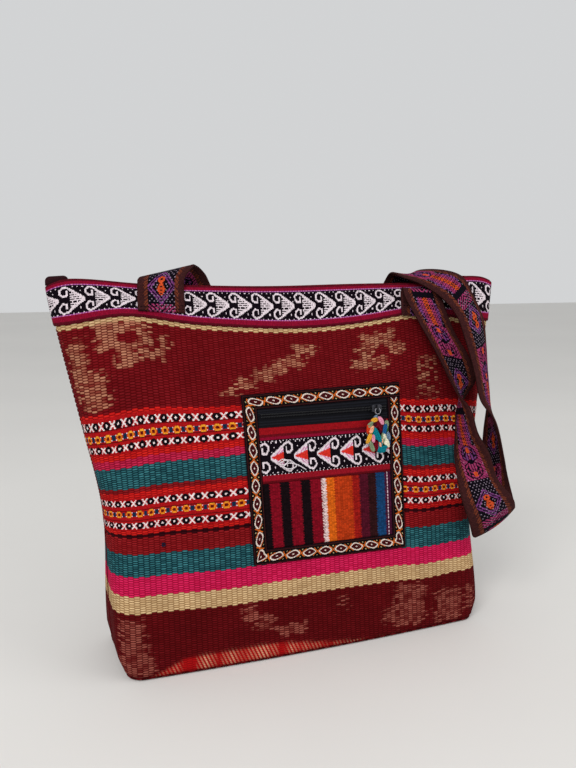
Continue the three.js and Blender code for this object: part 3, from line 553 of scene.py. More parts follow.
def tube_points(p, radius, sides, closed):
    """Rings of points round a line, each one turned as little as it can be from the last."""
    along = (np.roll(p, -1, 0) - np.roll(p, 1, 0)) if closed else np.gradient(p, axis=0)
    along /= np.linalg.norm(along, axis=1)[:, None]
    normal = np.cross(along[0], [0.13, 0.31, 0.94])
    normals = []
    for t in along:
        normal = normal - t * (normal @ t)
        normal /= np.linalg.norm(normal)
        normals.append(normal)
    normals = np.array(normals)
    others = np.cross(along, normals)
    angle = 2 * np.pi * np.arange(sides) / sides
    ring = normals[:, None] * np.cos(angle)[None, :, None] + others[:, None] * np.sin(angle)[None, :, None]
    uv = np.stack([np.repeat(run_along(p), sides), np.tile(angle * radius, len(p))], axis=-1)
    return (p[:, None] + radius * ring).reshape(-1, 3), uv


def tube_faces(n, sides, first, closed):
    """Faces between the rings of one tube, and its two ends if it is open."""
    faces = []
    for i in range(n if closed else n - 1):
        a, b = first + i * sides, first + (i + 1) % n * sides
        faces += [[a + k, a + (k + 1) % sides, b + (k + 1) % sides, b + k] for k in range(sides)]
    if not closed:
        faces += [[first + k for k in reversed(range(sides))]]
        faces += [[first + (n - 1) * sides + k for k in range(sides)]]
    return faces


def tubes(name, lines, radius, sides, codes, material, closed=False, body="bag"):
    """One piece of many yarns: each line of points gets a round section and one colour of codes."""
    points, faces, uv, colours, first = [], [], [], [], 0
    for line, code in zip(lines, codes):
        p = np.asarray(line, float)
        ring, ring_uv = tube_points(p, radius, sides, closed)
        points.append(ring)
        uv.append(ring_uv)
        added = tube_faces(len(p), sides, first, closed)
        faces += added
        colours.append(np.tile(linear(code), (sum(len(f) for f in added), 1)))
        first += len(p) * sides
    colours.append(linear(codes[0])[None])
    return finish_mesh(name, np.vstack(points), faces, np.vstack(uv), np.vstack(colours), material, body)


print("faces of a short stitch:", len(tube_faces(3, 6, 0, False)))

# %% Smooth curves
def centripetal(points, count):
    """A smooth curve through the points, with count samples between each pair."""
    p = np.vstack([2 * points[0] - points[1], points, 2 * points[-1] - points[-2]])
    out = []
    for i in range(1, len(p) - 2):
        d = [max(np.sum((p[i + j] - p[i + j - 1]) ** 2) ** 0.25, 1e-4) for j in (0, 1, 2)]
        here, ahead = (p[i] - p[i - 1]) / d[0], (p[i + 1] - p[i]) / d[1]
        m1 = (here - (p[i + 1] - p[i - 1]) / (d[0] + d[1]) + ahead) * d[1]
        m2 = (ahead - (p[i + 2] - p[i]) / (d[1] + d[2]) + (p[i + 2] - p[i + 1]) / d[2]) * d[1]
        t = np.linspace(0, 1, count, endpoint=False)[:, None]
        h = (2 * t**3 - 3 * t**2 + 1) * p[i] + (t**3 - 2 * t**2 + t) * m1
        out.append(h + (-2 * t**3 + 3 * t**2) * p[i + 1] + (t**3 - t**2) * m2)
    out.append(points[-1][None])
    return np.vstack(out)


print("samples on a curve of 3 points:", len(centripetal(np.eye(3), 6)))

# %% [markdown]
# ## Pale patches and the turned foot
# Two wide fields of dark red carry pale ikat patches with streaky edges. They could be painted by
# hand in texture paint, which would need an image. Here each patch is a few rough soft boxes on the
# cloth, and the chance of each stitch breaks up their outlines. At the bottom left a strip of the
# base cloth shows, with its stitches standing upright.

# %% Patches
# Pale patches: left, right, bottom and top of each rough box, in millimetres on the cloth.
UPPER_PATCHES = [
    (-204, -186, 250, 288), (-198, -172, 236, 262), (-180, -134, 276, 297), (-166, -150, 262, 280),
    (-146, -122, 266, 276), (-128, -118, 276, 286), (-78, -62, 238, 246), (-64, -44, 244, 254),
    (-48, -28, 250, 262), (-32, -12, 257, 268), (-18, 4, 262, 275), (-8, 16, 275, 284),
    (60, 96, 270, 288), (54, 74, 262, 276), (90, 106, 266, 276), (50, 90, 256, 266), (116, 140, 230, 266),
]
UPPER_HOLES = [(-162, -146, 279, 287), (76, 90, 268, 276)]
LOWER_PATCHES = [
    (-184, -150, 4, 24), (-180, -156, 20, 54), (-70, -56, 38, 52), (-60, -40, 28, 42),
    (-42, -10, 20, 30), (80, 114, 8, 50), (66, 86, 14, 28), (124, 156, 6, 40), (158, 170, 12, 40),
    (20, 32, 30, 50),
]
FAINT_PATCHES = [UPPER_PATCHES[-1], LOWER_PATCHES[-1]]
PATCH_STRENGTH, FAINT_STRENGTH, PATCH_EDGE, HOLE_EDGE = 0.85, 0.42, 7, 3

print("pale boxes:", len(UPPER_PATCHES) + len(LOWER_PATCHES))

# %% Values on the cloth
def soft_box(u, v, box, edge):
    """1 inside a box and 0 outside it, with a slope of about edge millimetres."""
    left, right, low, high = box
    across = ease(left - edge, left + edge, u) * (1 - ease(right - edge, right + edge, u))
    return across * ease(low - edge / 2, low + edge / 2, v) * (1 - ease(high - edge / 2, high + edge / 2, v))


def ikat(u, v):
    """How pale the yarn is, from 0 to 1."""
    total = np.zeros_like(u)
    for box in UPPER_PATCHES + LOWER_PATCHES:
        strength = FAINT_STRENGTH if box in FAINT_PATCHES else PATCH_STRENGTH
        total = np.maximum(total, strength * soft_box(u, v, box, PATCH_EDGE))
    for box in UPPER_HOLES:
        total = total * (1 - soft_box(u, v, box, HOLE_EDGE))
    return total


def turned_up(u, v):
    """Where the base cloth shows: a strip along the bottom that gets narrower to the right."""
    top = 15 - 13 * ease(-60, 65, u)
    left = -158 + 2.4 * v
    return (1 - ease(top - 1.5, top + 1.5, v)) * ease(left - 4, left + 4, u) * (1 - ease(60, 100, u))


print("paleness in the middle of a patch:", round(float(ikat(np.array([80.0]), np.array([279.0]))[0]), 2))

# %% [markdown]
# ## Body panels
# The front and the back are one sheet of blanket cloth each, with a tuck stitched across it. A plane
# with a cloth modifier could sag into this shape, but the pocket and the ribbons that are sewn on it
# would then have to follow it. So each panel is laid straight on the shape of the bag. The grid is
# finer at the tuck and at the rounded sides. The cloth is a little skewed, which only the map on it
# has to know.

# %% Body panels
def drift(u):
    """How far the stripes sit lower than a straight weave would put them."""
    return 2.8 - 4.3 * ease(75, 155, -u) + 1.7 * ease(0, 100, u) - 3.5 * ease(105, 150, u)


seam = 1 - SEW_GAP / TOP_WIDTH
SIDE_STEP, FACE_STEP, FACE_END = 0.0075, 0.009, 0.66
panel_columns = np.concatenate([
    steps(-seam, -FACE_END, SIDE_STEP), steps(-FACE_END, FACE_END, FACE_STEP)[1:-1],
    steps(FACE_END, seam, SIDE_STEP),
])
panel_rows = np.unique(np.concatenate([
    steps(CLOTH + SEW_GAP, 118, 2.6), steps(118, 133, 1.0), steps(133, HEIGHT, 2.6),
]))


def cloth_uv(f, v):
    """Millimetres on the cloth. Near the mouth the stripes run straight again."""
    u = panel_u(f, v)
    return u, v + drift(u) * (1 - ease(240, 285, v))


print("grid of a panel:", len(panel_columns), "by", len(panel_rows))

# %% Front and back
def body_panel(name, side):
    """One panel, with the values of its pale patches and its turned foot at its outer points."""
    def place(f, v, off):
        tuck = hump(v + drift(panel_u(f, v)), SEAM_LINE, 2.5)
        return on_panel(f, v, off - SEAM_SINK * tuck, side)

    obj = lay(name, panel_columns, panel_rows, place, -CLOTH, 0, BODY_CLOTH, uv=cloth_uv)
    F, V = np.meshgrid(panel_columns, panel_rows)
    for word, field in (("ikat", ikat), ("turned", turned_up)):
        values = np.zeros(len(obj.data.vertices), dtype=np.float32)
        values[: F.size] = field(panel_u(F, V), V).ravel()
        obj.data.attributes.new(word, "FLOAT", "POINT").data.foreach_set("value", values)
    return obj


front_cloth = body_panel("front_panel_cloth", FRONT)
back_cloth = body_panel("back_panel_cloth", BACK)
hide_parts("front_panel")
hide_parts("back_panel")
print("panel faces:", len(front_cloth.data.polygons))

# %% [markdown]
# ## Patterned bands of the body cloth
# Two rows of white crosses and black rings frame a row of orange rings and blue blocks. On the loom
# these are extra threads that float on top. The shader could draw them too, but its stitches are too
# coarse for them. So each band is a fine sheet of its own that stands a hair above the plain cloth.
# The pattern is closer together near the side seams, where the weaver beat the cloth harder.

# %% Cross and ring rows
BAND = palette(red="A01014", dark="5A080C", black="10080E", white="E4D4D2",
               orange="D8741A", gold="E0962A", navy="122842")
BAND_PITCH = 13.6   # millimetres from one ring to the next


def stroke(x, y, ax, ay, bx, by, width):
    """True within a thick line from a to b."""
    dx, dy = bx - ax, by - ay
    t = np.clip(((x - ax) * dx + (y - ay) * dy) / (dx * dx + dy * dy), 0, 1)
    return np.hypot(x - ax - t * dx, y - ay - t * dy) < width / 2


def crosses(p, y, out):
    """White crosses between black rings. p runs 0 to 1 over one repeat, y is up from the row's middle."""
    x = np.abs(p - 0.5)
    cross = (np.abs(x * BAND_PITCH - np.abs(y) * 1.05) < 0.95) & (x < 0.26) & (np.abs(y) < 2.9)
    ring = ((0.5 - x) / 0.31) ** 2 + (y / 3.1) ** 2
    out[cross] = BAND["white"]
    out[ring < 1.05] = BAND["black"]
    out[ring < 0.09] = BAND["white"]


def rings(p, y, out):
    """Orange rings between blue blocks with white specks."""
    x = np.abs(p - 0.5)
    block = (x < 0.15) & (np.abs(y) < 2.3)
    speck = (np.abs(x - 0.2) < 0.035) & (np.abs(np.abs(y) - 1.5) < 0.5)
    ring = ((0.5 - x) / 0.27) ** 2 + (y / 3.1) ** 2
    band = (ring < 1.05) & (ring > 0.24)
    out[block] = BAND["navy"]
    out[speck] = BAND["white"]
    out[ring <= 0.24] = BAND["dark"]
    out[band] = BAND["orange"]
    out[band & (np.abs(y) > 1.8)] = BAND["gold"]


def repeats(u):
    """Number of pattern repeats from the middle of the cloth: they close up towards the side seams."""
    return u / BAND_PITCH + np.sign(u) * 3.2 * ease(70, 225, np.abs(u)) ** 1.4


print("repeats across half a band:", round(float(repeats(np.array(200.0))), 1))

# %% Pattern bands
def band_paint(v_low, rows):
    """The colour of each thread of a band whose lower edge lies at height v_low."""
    def paint(f, v):
        u = panel_u(f, v)
        out = np.tile(BAND["red"], (len(u), 1))
        for kind, middle, shift in rows:
            here = np.abs(v - middle) < 4
            p = (repeats(u[here]) + shift) % 1
            part = out[here]
            (crosses if kind == "crosses" else rings)(p, v[here] - middle, part)
            out[here] = part
        out[(np.abs(v - v_low - 9.5) < 0.5) | (np.abs(v - v_low - 19) < 0.5)] = BAND["dark"]
        return out
    return paint


# Each band: its lower and upper edge, and the kind, height and shift of its three rows.
BANDS = {
    "upper_pattern_band": (
        202, 230, [("crosses", 224.5, 0.2), ("rings", 215, 0.2), ("crosses", 206.3, 0.25)]),
    "lower_pattern_band": (
        131.5, 161.8, [("crosses", 157, 0.0), ("rings", 147, 0.0), ("crosses", 136.3, 0.05)]),
}
band_columns = steps(-seam, seam, 0.0036)
for name, (low, high, rows) in BANDS.items():
    for word, side in (("front", FRONT), ("back", BACK)):
        def place(f, v, off, side=side):
            return on_panel(f, v - drift(panel_u(f, v)), off, side)
        band = lay(f"{name}_{word}", band_columns, steps(low, high, 0.85), place, 0.05, 0.28, BAND_CLOTH,
                   band_paint(low, rows), uv=lambda f, v: (panel_u(f, v), v))
print("pattern bands:", len(BANDS) * 2)

# %% [markdown]
# ## Trim round the mouth
# A separate woven ribbon is stitched along the mouth. White arrows with two hooks follow one another
# on black, between violet lines and crimson edges. The motif could be drawn as a letter grid, thread
# by thread. It is drawn with a few thick strokes instead, so that it can be used again on the
# pocket, where it is taller and points the other way.

# %% Arrow motif
TRIM = palette(black="0E060E", white="D8CAD0", violet="90468E", crimson="7E0A28",
               maroon="500A18", red="C82C22", pink="C47EA4")
ARROW_PITCH = 20.3   # millimetres from one arrow to the next
# The upper hook as a line of points, from its inner end round to the tip of the arrow.
HOOK = [(5.9, 6.2), (5.9, 3.1), (2.9, 2.8), (0.9, 4.8), (0.8, 7.7), (3.5, 9.8), (6.6, 8.9), (20.6, 0.3)]


def arrow(x, y, out, heart=None):
    """Two hooks and a triangle that points along +x. x runs over one pitch, y from -11 to 11."""
    up = np.abs(y)
    near = up - (20.6 - x) * 0.66
    row = np.floor((up + 0.6) / 3.4)
    dots = (((x + 2.03 * (row % 2)) % 4.06) < 0.85) & (((up + 0.6) % 3.4) < 0.9)
    out[dots & ((near > 2.2) | (x < 0.2)) & (up > 1)] = TRIM["white"]
    wedge = (x > 8.3) & (near < 0)
    out[wedge] = TRIM["white"]
    if heart:
        out[wedge & (up < 0.28 * (20.6 - x))] = TRIM[heart]
        out[wedge & (up > 0.28 * (20.6 - x)) & (((x + up) % 2.6) < 1.3)] = TRIM["pink"]
    else:
        row = np.floor((up + 0.4) / 1.75)
        streak = ((up + 0.4) % 1.75 < 0.95) & ((x + 2.1 * row) % 4.2 < 3.4)
        out[wedge & (x < 17.5) & (near < -1.3) & streak] = TRIM["black"]
    for (ax, ay), (bx, by) in zip(HOOK[:-1], HOOK[1:]):
        out[stroke(x, up, ax, ay, bx, by, 1.4)] = TRIM["white"]


print("strokes in a hook:", len(HOOK) - 1)

# %% Trim ribbon
TRIM_MIDDLE = 15.7   # from the lip to the middle of the pattern. The plain edge below it is the wider


def trim_paint(f, v):
    """Maroon and crimson edges, violet lines, and arrows on the black middle."""
    u = panel_u(f, v)
    y = v - (HEIGHT - TRIM_MIDDLE)
    out = np.tile(TRIM["crimson"], (len(u), 1))
    out[(y > 13.8) | (y < -15.4)] = TRIM["maroon"]
    inside = np.abs(y) < 10.9
    part = np.tile(TRIM["black"], (inside.sum(), 1))
    arrow((u[inside] + 2.0) % ARROW_PITCH, y[inside], part)
    out[inside] = part
    line = np.abs(np.abs(y) - 11.1) < 0.45
    out[line] = TRIM["violet"]
    out[line & ((u % 2.5) < 0.9)] = TRIM["pink"]
    return out


trim_columns = steps(-seam, seam, 0.0034)
for word, side in (("front", FRONT), ("back", BACK)):
    def place(f, v, off, side=side):
        return on_panel(f, v, off, side)
    trim = lay(f"{word}_trim_ribbon", trim_columns, steps(HEIGHT - TRIM_HEIGHT, HEIGHT, 0.8), place,
               SEW_GAP, 1.7, RIBBON, trim_paint, uv=cloth_uv)
    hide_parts(f"{word}_trim")
print("arrows along the mouth:", int(TOP_WIDTH / ARROW_PITCH))

# %% [markdown]
# ## The patch pocket
# The pocket is built from several cloths: a black zip at the top, a band with the arrow motif, and
# wool with upright stripes below. One plane with a picture could stand for them all, but each cloth
# is a sheet with its own threads here. Each one runs up to its neighbours, like the sewn pieces.

# %% Pocket places
POCKET_LEFT, POCKET_RIGHT, POCKET_BOTTOM, POCKET_TOP = -63, 92.6, 85.7, 239
BORDER_WIDTH, POCKET_ZIP_Z, SLIDER_X = 13.5, 218, 66
share_x = BORDER_WIDTH / (POCKET_RIGHT - POCKET_LEFT)
share_z = BORDER_WIDTH / (POCKET_TOP - POCKET_BOTTOM)


def pocket_point(a, b):
    """Across and up on the bag for a place given as shares of the pocket. The pocket leans a little."""
    x = POCKET_LEFT + (POCKET_RIGHT - POCKET_LEFT) * a + (1 - b) * (1 - a) * 4 - b * (1 - a)
    low = POCKET_BOTTOM + 3 * (0.5 - a)
    high = POCKET_TOP + 4 * (a - 0.5)
    return x, low + (high - low) * b


def pocket_edges(z):
    """Where the face of the pocket begins and ends at height z, inside the border."""
    b = (z - POCKET_BOTTOM) / (POCKET_TOP - POCKET_BOTTOM)
    return pocket_point(share_x, b)[0] + SEW_GAP, pocket_point(1 - share_x, b)[0] - SEW_GAP


def floor_line(k):
    """Height of the border's inner edge at the bottom."""
    return pocket_point(share_x + k * (1 - 2 * share_x), share_z)[1] + SEW_GAP


def ceiling_line(k):
    """Height of the border's inner edge at the top."""
    return pocket_point(share_x + k * (1 - 2 * share_x), 1 - share_z)[1] - SEW_GAP


def level(z):
    """A straight edge at height z."""
    return lambda k: z + 0 * k


COIL_GAP, POCKET_TAPE, POCKET_BAND = 0.3, 10.4, 49
tape_low = POCKET_ZIP_Z - COIL_GAP / 2 - POCKET_TAPE
band_low = tape_low - SEW_GAP - POCKET_BAND
print("face of the pocket at the zip:", [round(float(x), 1) for x in pocket_edges(POCKET_ZIP_Z)])

# %% Pocket threads
# The upright stripes of the wool: where each one starts, and its colour.
UPRIGHT = [
    (-60, "12080C"), (-41.4, "74091A"), (-30.9, "12080C"), (-21.8, "74091A"), (-11.5, "12080C"),
    (-2.2, "74091A"), (8.4, "D8BEBA"), (12.9, "C85A12"), (21.3, "AA3410"), (38.9, "8C1612"),
    (45.8, "480E1E"), (55.4, "2A1012"), (63.4, "143A62"), (72.3, "40102A"),
]
FACE_PITCH = 22.5   # the arrows on the pocket are wider than those on the trim


def upright_paint(s, q):
    """Stripes with toothed edges, a twisted white cord and a line of white stitches at the right."""
    edge = s + 0.45 * np.sign(np.sin(q * 2 * np.pi / 2.4))
    out = np.zeros((len(s), 3))
    for at, code in UPRIGHT:
        out[edge >= at] = linear(code)
    twist = (s > 8.4) & (s < 10.8) & ((q + 1.2 * (s - 8.4)) % 3.2 < 0.9)
    out[twist] = linear("8A5A58")
    out[(np.abs(s - 74.6) < 0.45) & (q % 3 < 1.9)] = linear("C9B4BC")
    return out


def band_face_paint(s, q):
    """The arrow ribbon of the pocket: crimson edges, arrows with red hearts that point left."""
    y = q - 22.6
    out = np.tile(TRIM["crimson"], (len(s), 1))
    out[y > 18.0] = linear("5E0A14")
    out[y > 20.5] = linear("8A0E16")
    out[y < -15] = linear("86101E")
    out[y < -20] = linear("5A0812")
    inside = np.abs(y) < 15.6
    part = np.tile(TRIM["black"], (inside.sum(), 1))
    x = ARROW_PITCH - ((s[inside] + 17.2) % FACE_PITCH) * 0.93
    arrow(x, y[inside] * 0.76, part, "red")
    edge = np.abs(np.abs(y[inside]) - 14.6) < 0.45
    part[edge & ((s[inside] % 3.4) < 0.9)] = TRIM["white"]
    out[inside] = part
    return out


def tape_paint(s, q):
    """Black zip tape with slightly paler ribs."""
    out = np.tile(linear("0E0E12"), (len(s), 1))
    out[(q % 2.6) < 0.6] = linear("17181E")
    return out


print("upright stripes:", len(UPRIGHT))

# %% Pocket cloths
LAP = 0.14   # each sheet reaches this far into the gap round it, so that nothing shows through


def pocket_piece(name, low_at, high_at, size, material, paint, node_name, top=1.4):
    """A sheet between two edges of the pocket's face, in the place of one plain piece."""
    middle = (low_at(0.5) + high_at(0.5)) / 2
    left, right = pocket_edges(middle)
    tall = high_at(0.5) - low_at(0.5)

    def place(s, q, off):
        k = (s - left) / (right - left)
        z = low_at(k) - LAP + (high_at(k) - low_at(k) + 2 * LAP) * q / tall
        a, b = pocket_edges(z)
        return panel_at(a - LAP + (b - a + 2 * LAP) * k, z, off)

    obj = lay(name, steps(left, right, size), steps(0, tall, size), place, SEW_GAP, top, material, paint)
    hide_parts(node_name)
    return obj


pocket_piece("pocket_striped_wool", floor_line, level(band_low - SEW_GAP), 0.9, POCKET_WOOL,
             upright_paint, "pocket_striped_cloth")
pocket_piece("pocket_arrow_band", level(band_low), level(tape_low - SEW_GAP), 0.82, RIBBON,
             band_face_paint, "pocket_woven_band")
pocket_piece("pocket_lower_zip_tape", level(tape_low), level(POCKET_ZIP_Z - COIL_GAP / 2), 1.2,
             ZIP_TAPE, tape_paint, "pocket_zip_tape_lower", 1.1)
pocket_piece("pocket_upper_zip_tape", level(POCKET_ZIP_Z + COIL_GAP / 2), ceiling_line, 1.2,
             ZIP_TAPE, tape_paint, "pocket_zip_tape_upper", 1.1)

# %% [markdown]
# ## Border of the pocket
# One narrow ribbon frames the pocket, folded over at three corners. Four straight strips would be
# simpler, but then the pattern would break at each corner. So the ribbon is one long sheet, which
# starts at the top right corner and comes back to it. White ovals with a dark red heart follow one
# another, and orange threads cross between them.

# %% Border threads
BORDER = palette(black="0E0709", white="DCCCC0", orange="CC6018", heart="3E0A0E",
                 gold="B8A878", rust="3E1612", edge="180A10")
BORDER_PITCH = 17.6   # millimetres from one oval to the next


def border_paint(s, t):
    """s runs along the ribbon, t across it from its outer edge, both in millimetres."""
    y = np.abs(t - BORDER_WIDTH / 2)
    x = np.abs((s % BORDER_PITCH) - BORDER_PITCH / 2)
    gap = BORDER_PITCH / 2 - x
    out = np.tile(BORDER["black"], (len(s), 1))
    out[np.abs(y - 5.4) < 0.4] = BORDER["rust"]
    out[y > 5.9] = BORDER["edge"]
    lens = 3.2 * (1 - (x / 6.9) ** 2)
    out[y < lens] = BORDER["heart"]
    outline = np.abs(y - lens) / np.hypot(1, 0.135 * x)
    out[(outline < 0.46) & (x < 7.2)] = BORDER["white"]
    out[x + y * 1.4 < 1.0] = BORDER["white"]
    out[(np.abs(y - gap * 0.8) < 0.5) & (gap < 4.2)] = BORDER["orange"]
    out[(gap < 0.45) & (np.abs(y - 3.4) < 0.45)] = BORDER["gold"]
    return out


print("ovals on the top edge:", int((POCKET_RIGHT - POCKET_LEFT) / BORDER_PITCH))

# %% Border ribbon
def border_edges():
    """Stations round the pocket: for each one, the outer and inner point as shares of the pocket."""
    wa, wb = share_x, share_z
    cut = SEW_GAP / (POCKET_TOP - POCKET_BOTTOM)
    corners = [((1, 1), (1, 1 - wb)), ((0, 1), (wa, 1 - wb)), ((0, 0), (wa, wb)), ((1, 0), (1 - wa, wb)),
               ((1, 1 - wb - cut), (1 - wa, 1 - wb - cut))]
    outer = np.array([c[0] for c in corners], float)
    inner = np.array([c[1] for c in corners], float)
    return outer, inner


def pocket_border():
    """The ribbon, with s along it and t across it from its outer edge."""
    outer, inner = border_edges()
    width, height = POCKET_RIGHT - POCKET_LEFT, POCKET_TOP - POCKET_BOTTOM
    legs = [width, height, width, height - BORDER_WIDTH]
    at = np.concatenate([[0], np.cumsum(legs)])

    def place(s, t, off):
        k = np.clip(t / BORDER_WIDTH, 0, 1)[..., None]
        a = np.stack([np.interp(s, at, outer[:, i]) for i in (0, 1)], axis=-1)
        b = np.stack([np.interp(s, at, inner[:, i]) for i in (0, 1)], axis=-1)
        p = a + (b - a) * k
        x, z = pocket_point(p[..., 0], p[..., 1])
        return panel_at(x, z, off)

    columns = np.unique(np.concatenate([steps(at[i], at[i + 1], 0.56) for i in range(4)]))
    obj = lay("pocket_border_ribbon", columns, steps(0, BORDER_WIDTH, 0.5), place, SEW_GAP, 1.8, RIBBON,
              border_paint, rim="140809")
    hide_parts("pocket_border")
    return obj


border = pocket_border()
print("faces of the border:", len(border.data.polygons))

# %% [markdown]
# ## Where the straps go
# Each strap is a flat woven band, sewn on at both ends. It could be a plane that bends along one
# curve, but at a fold its two edges go different ways. So we place points along both edges, the left
# and the right of each pair, and the band lies between them. Twists and folds come by themselves.
# The middle of the front strap has slipped over the mouth and lies behind the bag.

# %% Front strap route
STRAP_WIDTH, STRAP_THICK, STRAP_SPREAD = 40, 2, 124
TRIM_THICK, STRAP_CLEAR = 1.4, 0.5
mouth_centre = -5.5
strap_off = SEW_GAP + TRIM_THICK + STRAP_CLEAR + STRAP_THICK / 2
over_strap = strap_off + 3.6 * STRAP_THICK


def hanging(middle, side):
    """Places points of a free strap: across from middle, out from the bag and down from its top."""
    def point(dx, out, drop):
        z = HEIGHT - drop
        return np.array([middle + dx, side * (section(z)[0] + out), z])
    return point


def front_strap_route():
    """Pairs of edge points: the left loop, over the mouth, along the back and down the right corner."""
    left, right, top = mouth_centre - STRAP_SPREAD, mouth_centre + STRAP_SPREAD, HEIGHT
    h = STRAP_WIDTH / 2
    by_left, by_right = hanging(left, FRONT), hanging(right, FRONT)

    def front(x, z, off=strap_off):
        return panel_at(x, z, off, FRONT)

    def back(x, z, off=over_strap):
        return panel_at(x, z, off, BACK)

    return [
        (front(left + h, top - 24), front(left - h, top - 21)),
        (front(left + h, top - 12), front(left - h, top - 10)),
        (by_left(20.5, 4.5, -5), by_left(-19.5, 4.5, -1)),
        (by_left(28, -2, -14), by_left(-18, -2, -5)),
        (by_left(36, -16, -16.5), by_left(-9, -16, -5.5)),
        (by_left(46, -24.5, -9), by_left(-2, -26, -0.5)),
        (back(left + 54, top - 4), back(left + 6, top - 15, over_strap + 1)),
        (back(left + 80, top - 24), back(left + 54, top - 54)),
        (back(left + 118, top - 40, strap_off + 2), back(left + 106, top - 78, strap_off + 2)),
        (back(right - 88, top - 43, strap_off + 2), back(right - 86, top - 83, strap_off + 2)),
        (back(right - 52, top - 34), back(right - 34, top - 66, over_strap + 5)),
        (back(right - 30, top - 15, over_strap + 1), back(right, top - 42, over_strap + 2)),
        (back(right - 21, top - 1, over_strap + 1), back(right + 13, top - 18, over_strap + 2)),
        (by_right(-20, -17, -9.5), by_right(13, -27, -3)),
        (by_right(-17, 4.5, -6), by_right(12, -25, -10)),
        (by_right(-2, 10.5, 0), by_right(28, -14, -13)),
        (by_right(16, 19.5, 14), by_right(45.5, 8, -6.5)),
        (by_right(25, 28, 30), by_right(54, 13, 12)),
        (by_right(31, 30, 51), by_right(62, 15, 34)),
        (by_right(34, 33, 68), by_right(65, 12.5, 60)),
        (by_right(37, 34, 84), by_right(66, 10.5, 81.5)),
        (by_right(42, 33.5, 108), by_right(69, 6, 111)),
        (by_right(56, 33.5, 128), by_right(68, -1.5, 144)),
        (by_right(70, 26.5, 166), by_right(67, -7.5, 179)),
        (by_right(90, 8, 203), by_right(53, 3.5, 206)),
        (by_right(92.5, 11, 219), by_right(45, 10, 245)),
        (by_right(79, 27, 206), by_right(32, 22.5, 226)),
        (by_right(60, 30, 185), by_right(21, 23.5, 193)),
        (by_right(42, 42, 155), by_right(26, 8, 163)),
        (by_right(29, 44.5, 136), by_right(29, 7.5, 141)),
        (by_right(21, 46, 113), by_right(31, 8.5, 121)),
        (by_right(15, 38, 101), by_right(42, 12, 104)),
        (by_right(13, 28, 89), by_right(49, 14, 94)),
        (by_right(6, 18, 65), by_right(45, 15, 74)),
        (by_right(-10, 14.5, 34), by_right(29.5, 12.5, 45)),
        (by_right(-20, 11, 12), by_right(20, 11, 16)),
        (by_right(-21, 8.5, 4.5), by_right(19, 8.5, 7)),
        (front(right - h, top - 9, strap_off + 1), front(right + h, top - 11, strap_off + 1)),
        (front(right - h, top - 17), front(right + h, top - 19)),
        (front(right - h, top - 30), front(right + h, top - 32)),
    ]


front_route = front_strap_route()
print("pairs of points on the front strap:", len(front_route))

# %% Back strap route
def back_strap_route():
    """The hidden strap: each half folds up from its sewn end and hangs down to the middle."""
    folded = strap_off + STRAP_THICK * 2.4
    turning = (strap_off + folded) / 2
    half = [((-20, out, drop), (20, out, drop)) for out, drop in (
        (strap_off, 30), (strap_off, 14), (strap_off + 0.3, 7), (turning, 4.6), (folded, 7), (folded, 14))]
    half += [
        ((-20, folded + 0.4, 33), (20, folded, 33)), ((-17, 12, 60), (21, 8, 62)),
        ((-10, 25, 98), (21, 6.5, 101)), ((2, 36, 143), (23, 6.5, 141)), ((16, 38, 188), (32, 6.5, 175)),
        ((40, 40, 228), (52, 7, 208)), ((76, 38, 256), (82, 7, 232)),
    ]

    def place(row, mirror):
        return [panel_at(mouth_centre + mirror * (dx - STRAP_SPREAD), HEIGHT - drop, out, BACK)
                for dx, out, drop in row]

    low = place(((STRAP_SPREAD, 38, 267), (STRAP_SPREAD, 7, 241)), 1)
    return [place(row, 1) for row in half] + [low] + [place(row, -1) for row in half[::-1]]


back_route = back_strap_route()
print("pairs of points on the back strap:", len(back_route))

# %% [markdown]
# ## Pattern of the straps
# The strap shows five kinds of field between brown edges: slanting stripes, a dotted lattice, two
# hooks, dots and a double lozenge round a small figure. A picture tile would repeat them too, but
# would blur at each edge. Each field is a few plain shapes, with x along the strap and t across it.

# %% Strap threads
STRAP = palette(black="0C0710", violet="743A74", pink="983460", orange="C04822",
                white="887888", brown="381A1A", rust="6A3220")
FIGURE_HALF, REPEAT = 11.6, 120   # half the patterned width, and the length of one repeat
LEFT_PART = 250                   # the part sewn on at the left has its own start of the pattern
HOOK_LINES = (((1, 1), (4, 6)), ((4, 6), (11, 7)), ((11, 7), (14, 3)), ((14, 3), (8, 2.5)))


def slant_stripes(x, t, out):
    """Pink stripes that meet in the middle like arrowheads."""
    here = x < 11
    out[here & (((x + np.abs(t) * 0.9) % 3.6) < 1.5)] = STRAP["pink"]


def lattice(x, t, out):
    """Pink and violet ground with black dots and an orange core, for 28 mm."""
    y = np.abs(t)
    here = (x > 17) & (x < 46) & (y + np.abs(x - 31) * 0.35 < 12.6)
    out[here] = STRAP["pink"]
    out[here & (y > 7.5)] = STRAP["violet"]
    out[here & (y < 2.4)] = STRAP["orange"]
    even = np.floor(x / 1.5) + np.floor((t + 40) / 1.5)
    out[here & (even % 2 < 1) & (x % 1.5 < 1.2)] = STRAP["black"]


def hooks(x, t, out):
    """Two hooks drawn with double lines on pink, meeting at a black knot."""
    y = np.abs(t)
    here = (x > 46) & (x < 80)
    out[here & ((x + t) % 3.2 > 0.9)] = STRAP["pink"]
    for sign, base in ((1, 47), (-1, 79)):
        for (ax, ay), (bx, by) in HOOK_LINES:
            near, core = (stroke(x, y, base + sign * ax, ay, base + sign * bx, by, w) for w in (4.0, 1.5))
            out[here & near] = STRAP["black"]
            out[here & core] = STRAP["violet" if sign > 0 else "pink"]
    out[here & (np.abs(x - 63) + y < 3.2)] = STRAP["black"]
    out[here & (y < 1.5) & ((np.abs(x - 51) < 2.6) | (np.abs(x - 75) < 2.6))] = STRAP["orange"]


